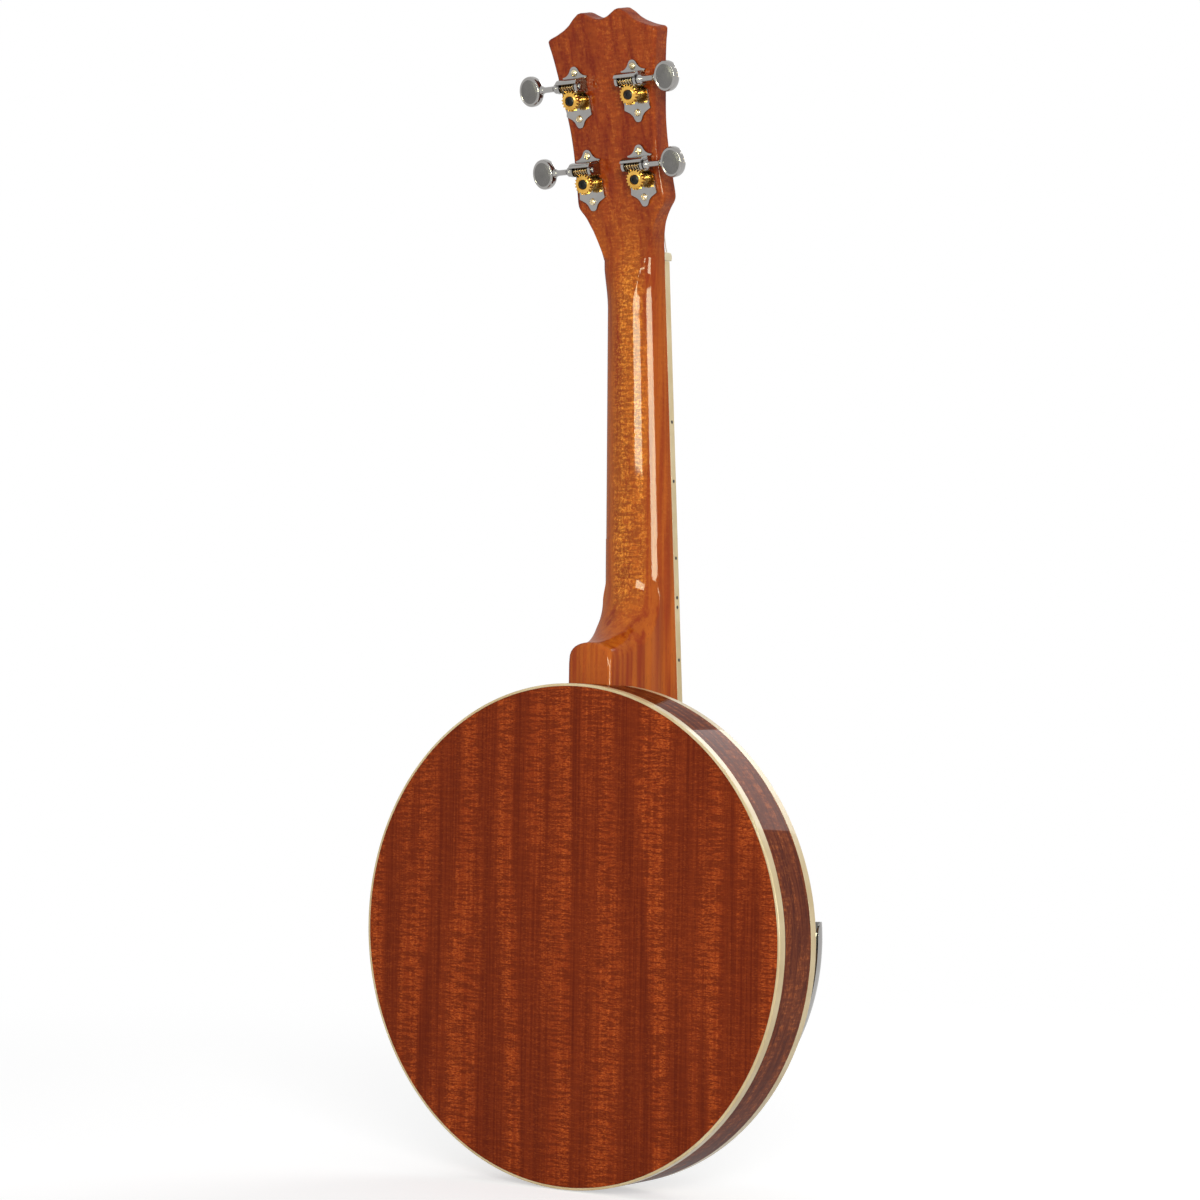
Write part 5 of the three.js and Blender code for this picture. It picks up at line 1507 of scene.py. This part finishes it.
def makeWormShaft():
    look = tunerSizes
    length = 5 * look["pitch"] + 0.8
    pieceRings = []
    samples = 150
    for step in range(samples + 1):
        x = -length / 2 - 0.28 + (length + 0.56) * step / samples
        ring = []
        for side in range(36):
            angle = math.tau * side / 36
            phase = ((x + length / 2) / look["pitch"] - angle / math.tau) % 1
            off = phase * look["pitch"]
            if off > 0.8:
                r = look["root"]
            else:
                r = look["root"] + (look["crest"] - look["root"]) * min(1, off / 0.2, (0.8 - off) / 0.2)
            if abs(x) > length / 2:
                r = look["root"]
            elif abs(x) > length / 2 - 0.25:
                r = min(r, look["root"] + (look["crest"] - look["root"]) * (length / 2 - abs(x)) / 0.25)
            ring.append(Vector((x, r * math.sin(angle), -r * math.cos(angle))))
        pieceRings.append(ring)
    worm = wrapRings("wormModel", pieceRings)
    first = look["earOutside"]
    shaft = [
        (0, -first - 0.9), (1.1, -first - 0.9), (1.65, -first - 0.45), (1.7, -first), (1.7, first + 0.3), (2.7, first + 0.3), (2.7, first + 1.9),
        (2.45, first + 2.3), (1.95, first + 2.75), (1.62, first + 3.4), (1.55, first + 5), (1.55, 15.6), (1.8, 16.8), (2.3, 17.6), (2.5, 18.0), (0, 18.0),
    ]
    rod = turnProfile("shaft", softened(shaft, [0, 0.2, 0.2, 0, 0, 0.35, 0.35, 0.4, 0.5, 0.8, 0, 0.8, 1, 0.3, 0, 0], False, 3), 40, False)
    shift(rod, Matrix.Rotation(-math.pi / 2, 4, "Z"))
    # the worm takes the nickel with the painted brown reflection
    worm.data.materials.append(wormPaintedReflection)
    rod.data.materials.append(nickel)
    return gather(worm, rod)


def makeButton():
    profile = [(0, -3.0), (2.5, -2.93), (5.0, -2.72), (6.4, -2.5), (6.9, -2.62), (7.45, -2.72), (7.95, -2.1), (8.2, -1.0), (8.2, 1.0), (7.95, 2.1), (7.45, 2.72), (6.9, 2.62), (6.4, 2.5), (5.0, 2.72), (2.5, 2.93), (0, 3.0)]
    button = turnProfile("buttonModel", softened(profile, [0, 3, 2, 0.15, 0.25, 0.3, 0.7, 0.8, 0.8, 0.7, 0.3, 0.25, 0.15, 2, 3, 0], False, 4), 72, False)
    for vertex in button.data.vertices:
        vertex.co.x *= 6.7 / 8.2
    stem = [(0, -9.3), (2.4, -9.3), (2.2, -8.4), (2.3, -7.4), (3.0, -6.4), (0, -6.0)]
    neckOfButton = turnProfile("buttonStem", softened(stem, [0, 0.2, 0.8, 0.8, 0.4, 0], False, 3), 40, False)
    shift(neckOfButton, Matrix.Rotation(-math.pi / 2, 4, "Z") @ Matrix.Translation((0, 2.15, 0)))
    button = gather(button, neckOfButton)
    return shift(button, Matrix.Translation((tunerSizes["buttonReach"], 0, 0)))


def makeButtonScrew():
    dome = [(0, -0.4), (1.35, -0.4), (1.35, -0.1), (1.1, 0.06), (0, 0.1)]
    screw = turnProfile("buttonScrewModel", dome, 32, False)
    groove = addBlock("groove", (-1.6, -0.05, -0.18), (1.6, 0.4, 0.18))
    carve(screw, groove)
    shift(screw, Matrix.Rotation(-math.pi / 2, 4, "Z"))
    return shift(screw, Matrix.Translation((tunerSizes["buttonReach"] + 6.6, 0, 0)))


def makePost():
    look = tunerSizes
    top = look["postTop"]
    profile = [(0, -8.3), (2.1, -8.3), (2.1, -1.5), (2.9, -1.5), (2.9, 12.9), (2.9, 19.2), (2.55, 19.8), (2.55, 21.7), (2.9, 22.3), (2.9, top - 0.9), (2.2, top), (0, top)]
    post = turnProfile("postModel", softened(profile, [0, 0, 0, 0.2, 0, 0.5, 0.6, 0.6, 0.5, 0.6, 0.6, 0], False), 48, False)
    hole = addBar("stringHole", 0.7, -4, 4, 20, "X")
    shift(hole, Matrix.Translation((0, winding["hole"], 0)))
    carve(post, hole)
    return post


def makeBushing():
    front = tunerSizes["headFront"]
    profile = [(3.2, front - 6), (4.9, front - 6), (4.9, front + 0.15), (6.0, front + 0.15), (6.0, front + 0.55), (5.2, front + 1.05), (4.2, front + 1.35), (3.2, front + 1.35)]
    return turnProfile("bushingModel", softened(profile, [0, 0, 0, 0.15, 0.3, 0.4, 0.3, 0.2]), 48)


def makeTuners():
    plate, gear, socket, shaft = makePlate(), makeGear(), makeSocketScrew(), makeWormShaft()
    button, tip, post, bushing, screw = makeButton(), makeButtonScrew(), makePost(), makeBushing(), makePlateScrew()
    for tuner in tuners:
        number, side = tuner["number"], tuner["side"]
        base = headstockFrame @ Matrix.Translation((side * tuner["across"], 0, tuner["height"]))
        drive = base @ Matrix.Translation((0, -tunerSizes["wormHeight"], tunerSizes["wormToGear"]))
        if side < 0:
            drive = drive @ Matrix.Rotation(math.pi, 4, "Z")
        cad, name = f"tuner_{number}", f"tuner{number}"
        wheel, turned = f"{cad}_wheel", f"{cad}_drive"
        settle(copyOf(plate, name + "Plate"), base, nickel, nodes=[cad + "_plate"])
        for place, height, turn in (("Upper", 14.6, 0.5), ("Lower", -10, 1.2)):
            spot = base @ Matrix.Translation((0, 0, height)) @ Matrix.Rotation(turn + number, 4, "Y")
            settle(copyOf(screw, f"{name}{place}Screw"), spot, paleGold)
        settle(copyOf(bushing, name + "Bushing"), base, nickel, nodes=[cad + "_bushing"])
        settle(copyOf(gear, name + "Gear"), base, gold, wheel, [cad + "_gear"])
        settle(copyOf(socket, name + "SocketScrew"), base, darkSteel, wheel)
        settle(copyOf(post, name + "Post"), base, nickel, wheel, [cad + "_post"])
        settle(copyOf(shaft, name + "Worm"), drive, nickel, turned, [cad + "_worm"])
        knob = copyOf(button, name + "Button")
        knob.data.materials.append(nickel)
        knob.data.materials.append(satinNickel)
        for face in knob.data.polygons:
            at = face.center
            flat = math.hypot((at.x - tunerSizes["buttonReach"]) / 6.7, at.z / 8.2)
            if abs(face.normal.y) > 0.9 and flat < 0.79 and abs(at.y) > 2:
                face.material_index = 1
        settle(knob, drive, nickel, turned, [cad + "_button"])
        settle(copyOf(tip, name + "ButtonScrew"), drive, paleGold, turned)
    for model in (plate, gear, socket, shaft, button, tip, post, bushing, screw):
        bpy.data.objects.remove(model, do_unlink=True)


makeBridge()
makeTailpiece()
makeArmrest()
makeStrings()
makeTuners()
print("scene: bridge, tailpiece, armrest, strings and tuners done")


# Camera, floor and light

def setCamera():
    view = {"yaw": 35.24, "pitch": -0.81, "roll": 0.83, "place": (1.0040, -1.4516, -0.2556)}
    yaw, pitch, roll = (math.radians(view[key]) for key in ("yaw", "pitch", "roll"))
    behind = Vector((math.sin(yaw) * math.cos(pitch), -math.cos(yaw) * math.cos(pitch), math.sin(pitch)))
    level = Vector((math.cos(yaw), math.sin(yaw), 0))
    upward = behind.cross(level)
    right = level * math.cos(roll) + upward * math.sin(roll)
    top = upward * math.cos(roll) - level * math.sin(roll)
    clearSelection()
    bpy.ops.object.camera_add(location=view["place"])
    camera = bpy.context.object
    camera.rotation_euler = Matrix((right, top, behind)).transposed().to_euler()
    camera.data.sensor_width = 36
    camera.data.sensor_fit = "HORIZONTAL"
    camera.data.lens = 98
    camera.data.shift_x = 0.0079
    camera.data.shift_y = 0.0436
    camera.data.clip_start = 0.02
    bpy.context.scene.camera = camera


# Pale paper near the instrument, where its shadow falls, that turns plain white further out.
def setFloor():
    look = {"radius": 6, "paper": 0.62, "glow": 0.55, "fadeFrom": 0.45, "fadeTo": 1.1}
    clearSelection()
    bpy.ops.mesh.primitive_circle_add(vertices=96, radius=look["radius"], fill_type="NGON", location=(0, 0, cadLow.z - 0.0005))
    floor = nameIt("studioFloor")
    finish = bpy.data.materials.new("paleFloor")
    finish.use_nodes = True
    tree = finish.node_tree
    tree.nodes.clear()
    paper = addNode(tree, "BsdfDiffuse", {"Color": (look["paper"], look["paper"], look["paper"], 1)})
    glow = addNode(tree, "Emission", {"Color": (1, 1, 1, 1), "Strength": look["glow"]})
    lit = addNode(tree, "AddShader", {0: paper.outputs[0], 1: glow.outputs[0]})
    white = addNode(tree, "Emission", {"Color": (1, 1, 1, 1), "Strength": 1.0})
    where = addNode(tree, "TexCoord").outputs["Object"]
    away = addNode(tree, "VectorMath", {0: where}, operation="LENGTH").outputs["Value"]
    far = ramp(tree, away, look["fadeFrom"], look["fadeTo"])
    ground = addNode(tree, "MixShader", {0: far, 1: lit.outputs[0], 2: white.outputs[0]})
    paths = addNode(tree, "LightPath").outputs
    shown = reckon(tree, "MAXIMUM", paths["Is Camera Ray"], paths["Is Glossy Ray"])
    shown = reckon(tree, "MAXIMUM", shown, paths["Is Transmission Ray"])
    mix = addNode(tree, "MixShader", {0: shown, 1: paper.outputs[0], 2: ground.outputs[0]})
    addNode(tree, "OutputMaterial", {"Surface": mix.outputs[0]})
    floor.data.materials.append(finish)


def setWorld():
    world = bpy.data.worlds.new("studio")
    bpy.context.scene.world = world
    world.use_nodes = True
    tree = world.node_tree
    tree.nodes.clear()
    paths = addNode(tree, "LightPath").outputs
    seen = reckon(tree, "MAXIMUM", paths["Is Camera Ray"], paths["Is Glossy Ray"])
    seen = reckon(tree, "MAXIMUM", seen, paths["Is Transmission Ray"])
    room = addNode(tree, "Background", {"Color": (1, 1, 1, 1), "Strength": 0.42})
    white = addNode(tree, "Background", {"Color": (1, 1, 1, 1), "Strength": 1.0})
    mix = addNode(tree, "MixShader", {0: seen, 1: room.outputs[0], 2: white.outputs[0]})
    addNode(tree, "OutputWorld", {"Surface": mix.outputs[0]})


# Some lamps only show as highlights in the lacquer and the metal, and others only light the colours.
def addLamp(name, place, aim, size, power, shade=(1, 1, 1), lights=True, shines=True):
    clearSelection()
    bpy.ops.object.light_add(type="AREA", location=place)
    lamp = nameIt(name)
    lamp.data.shape = "RECTANGLE"
    lamp.data.size, lamp.data.size_y = size
    lamp.data.energy = power
    lamp.data.color = shade
    lamp.visible_diffuse = lights
    lamp.visible_glossy = shines
    lamp.visible_camera = False
    lamp.rotation_euler = (Vector(aim) - Vector(place)).to_track_quat("-Z", "Y").to_euler()


setCamera()
setFloor()
setWorld()
addLamp("softKey", (1.5, -1.9, 0.35), (0, 0, -0.12), (0.97, 0.7), 44, shines=False)
addLamp("neckWindow", (0.05, -2.4, -0.005), (0, 0, -0.12), (0.86, 0.2), 19, (0.98, 1.0, 0.70), lights=False)
addLamp("neckSoftbox", (1.74, -1.65, -0.09), (0, 0, -0.12), (0.97, 0.62), 74, (0.98, 1.0, 0.72), lights=False)
addLamp("frontSoftbox", (0.28, 1.9, 0.86), (0.05, 0, -0.28), (1.3, 1.2), 16)
bpy.context.scene.view_settings.view_transform = "Standard"
print("scene: camera, floor and light set")
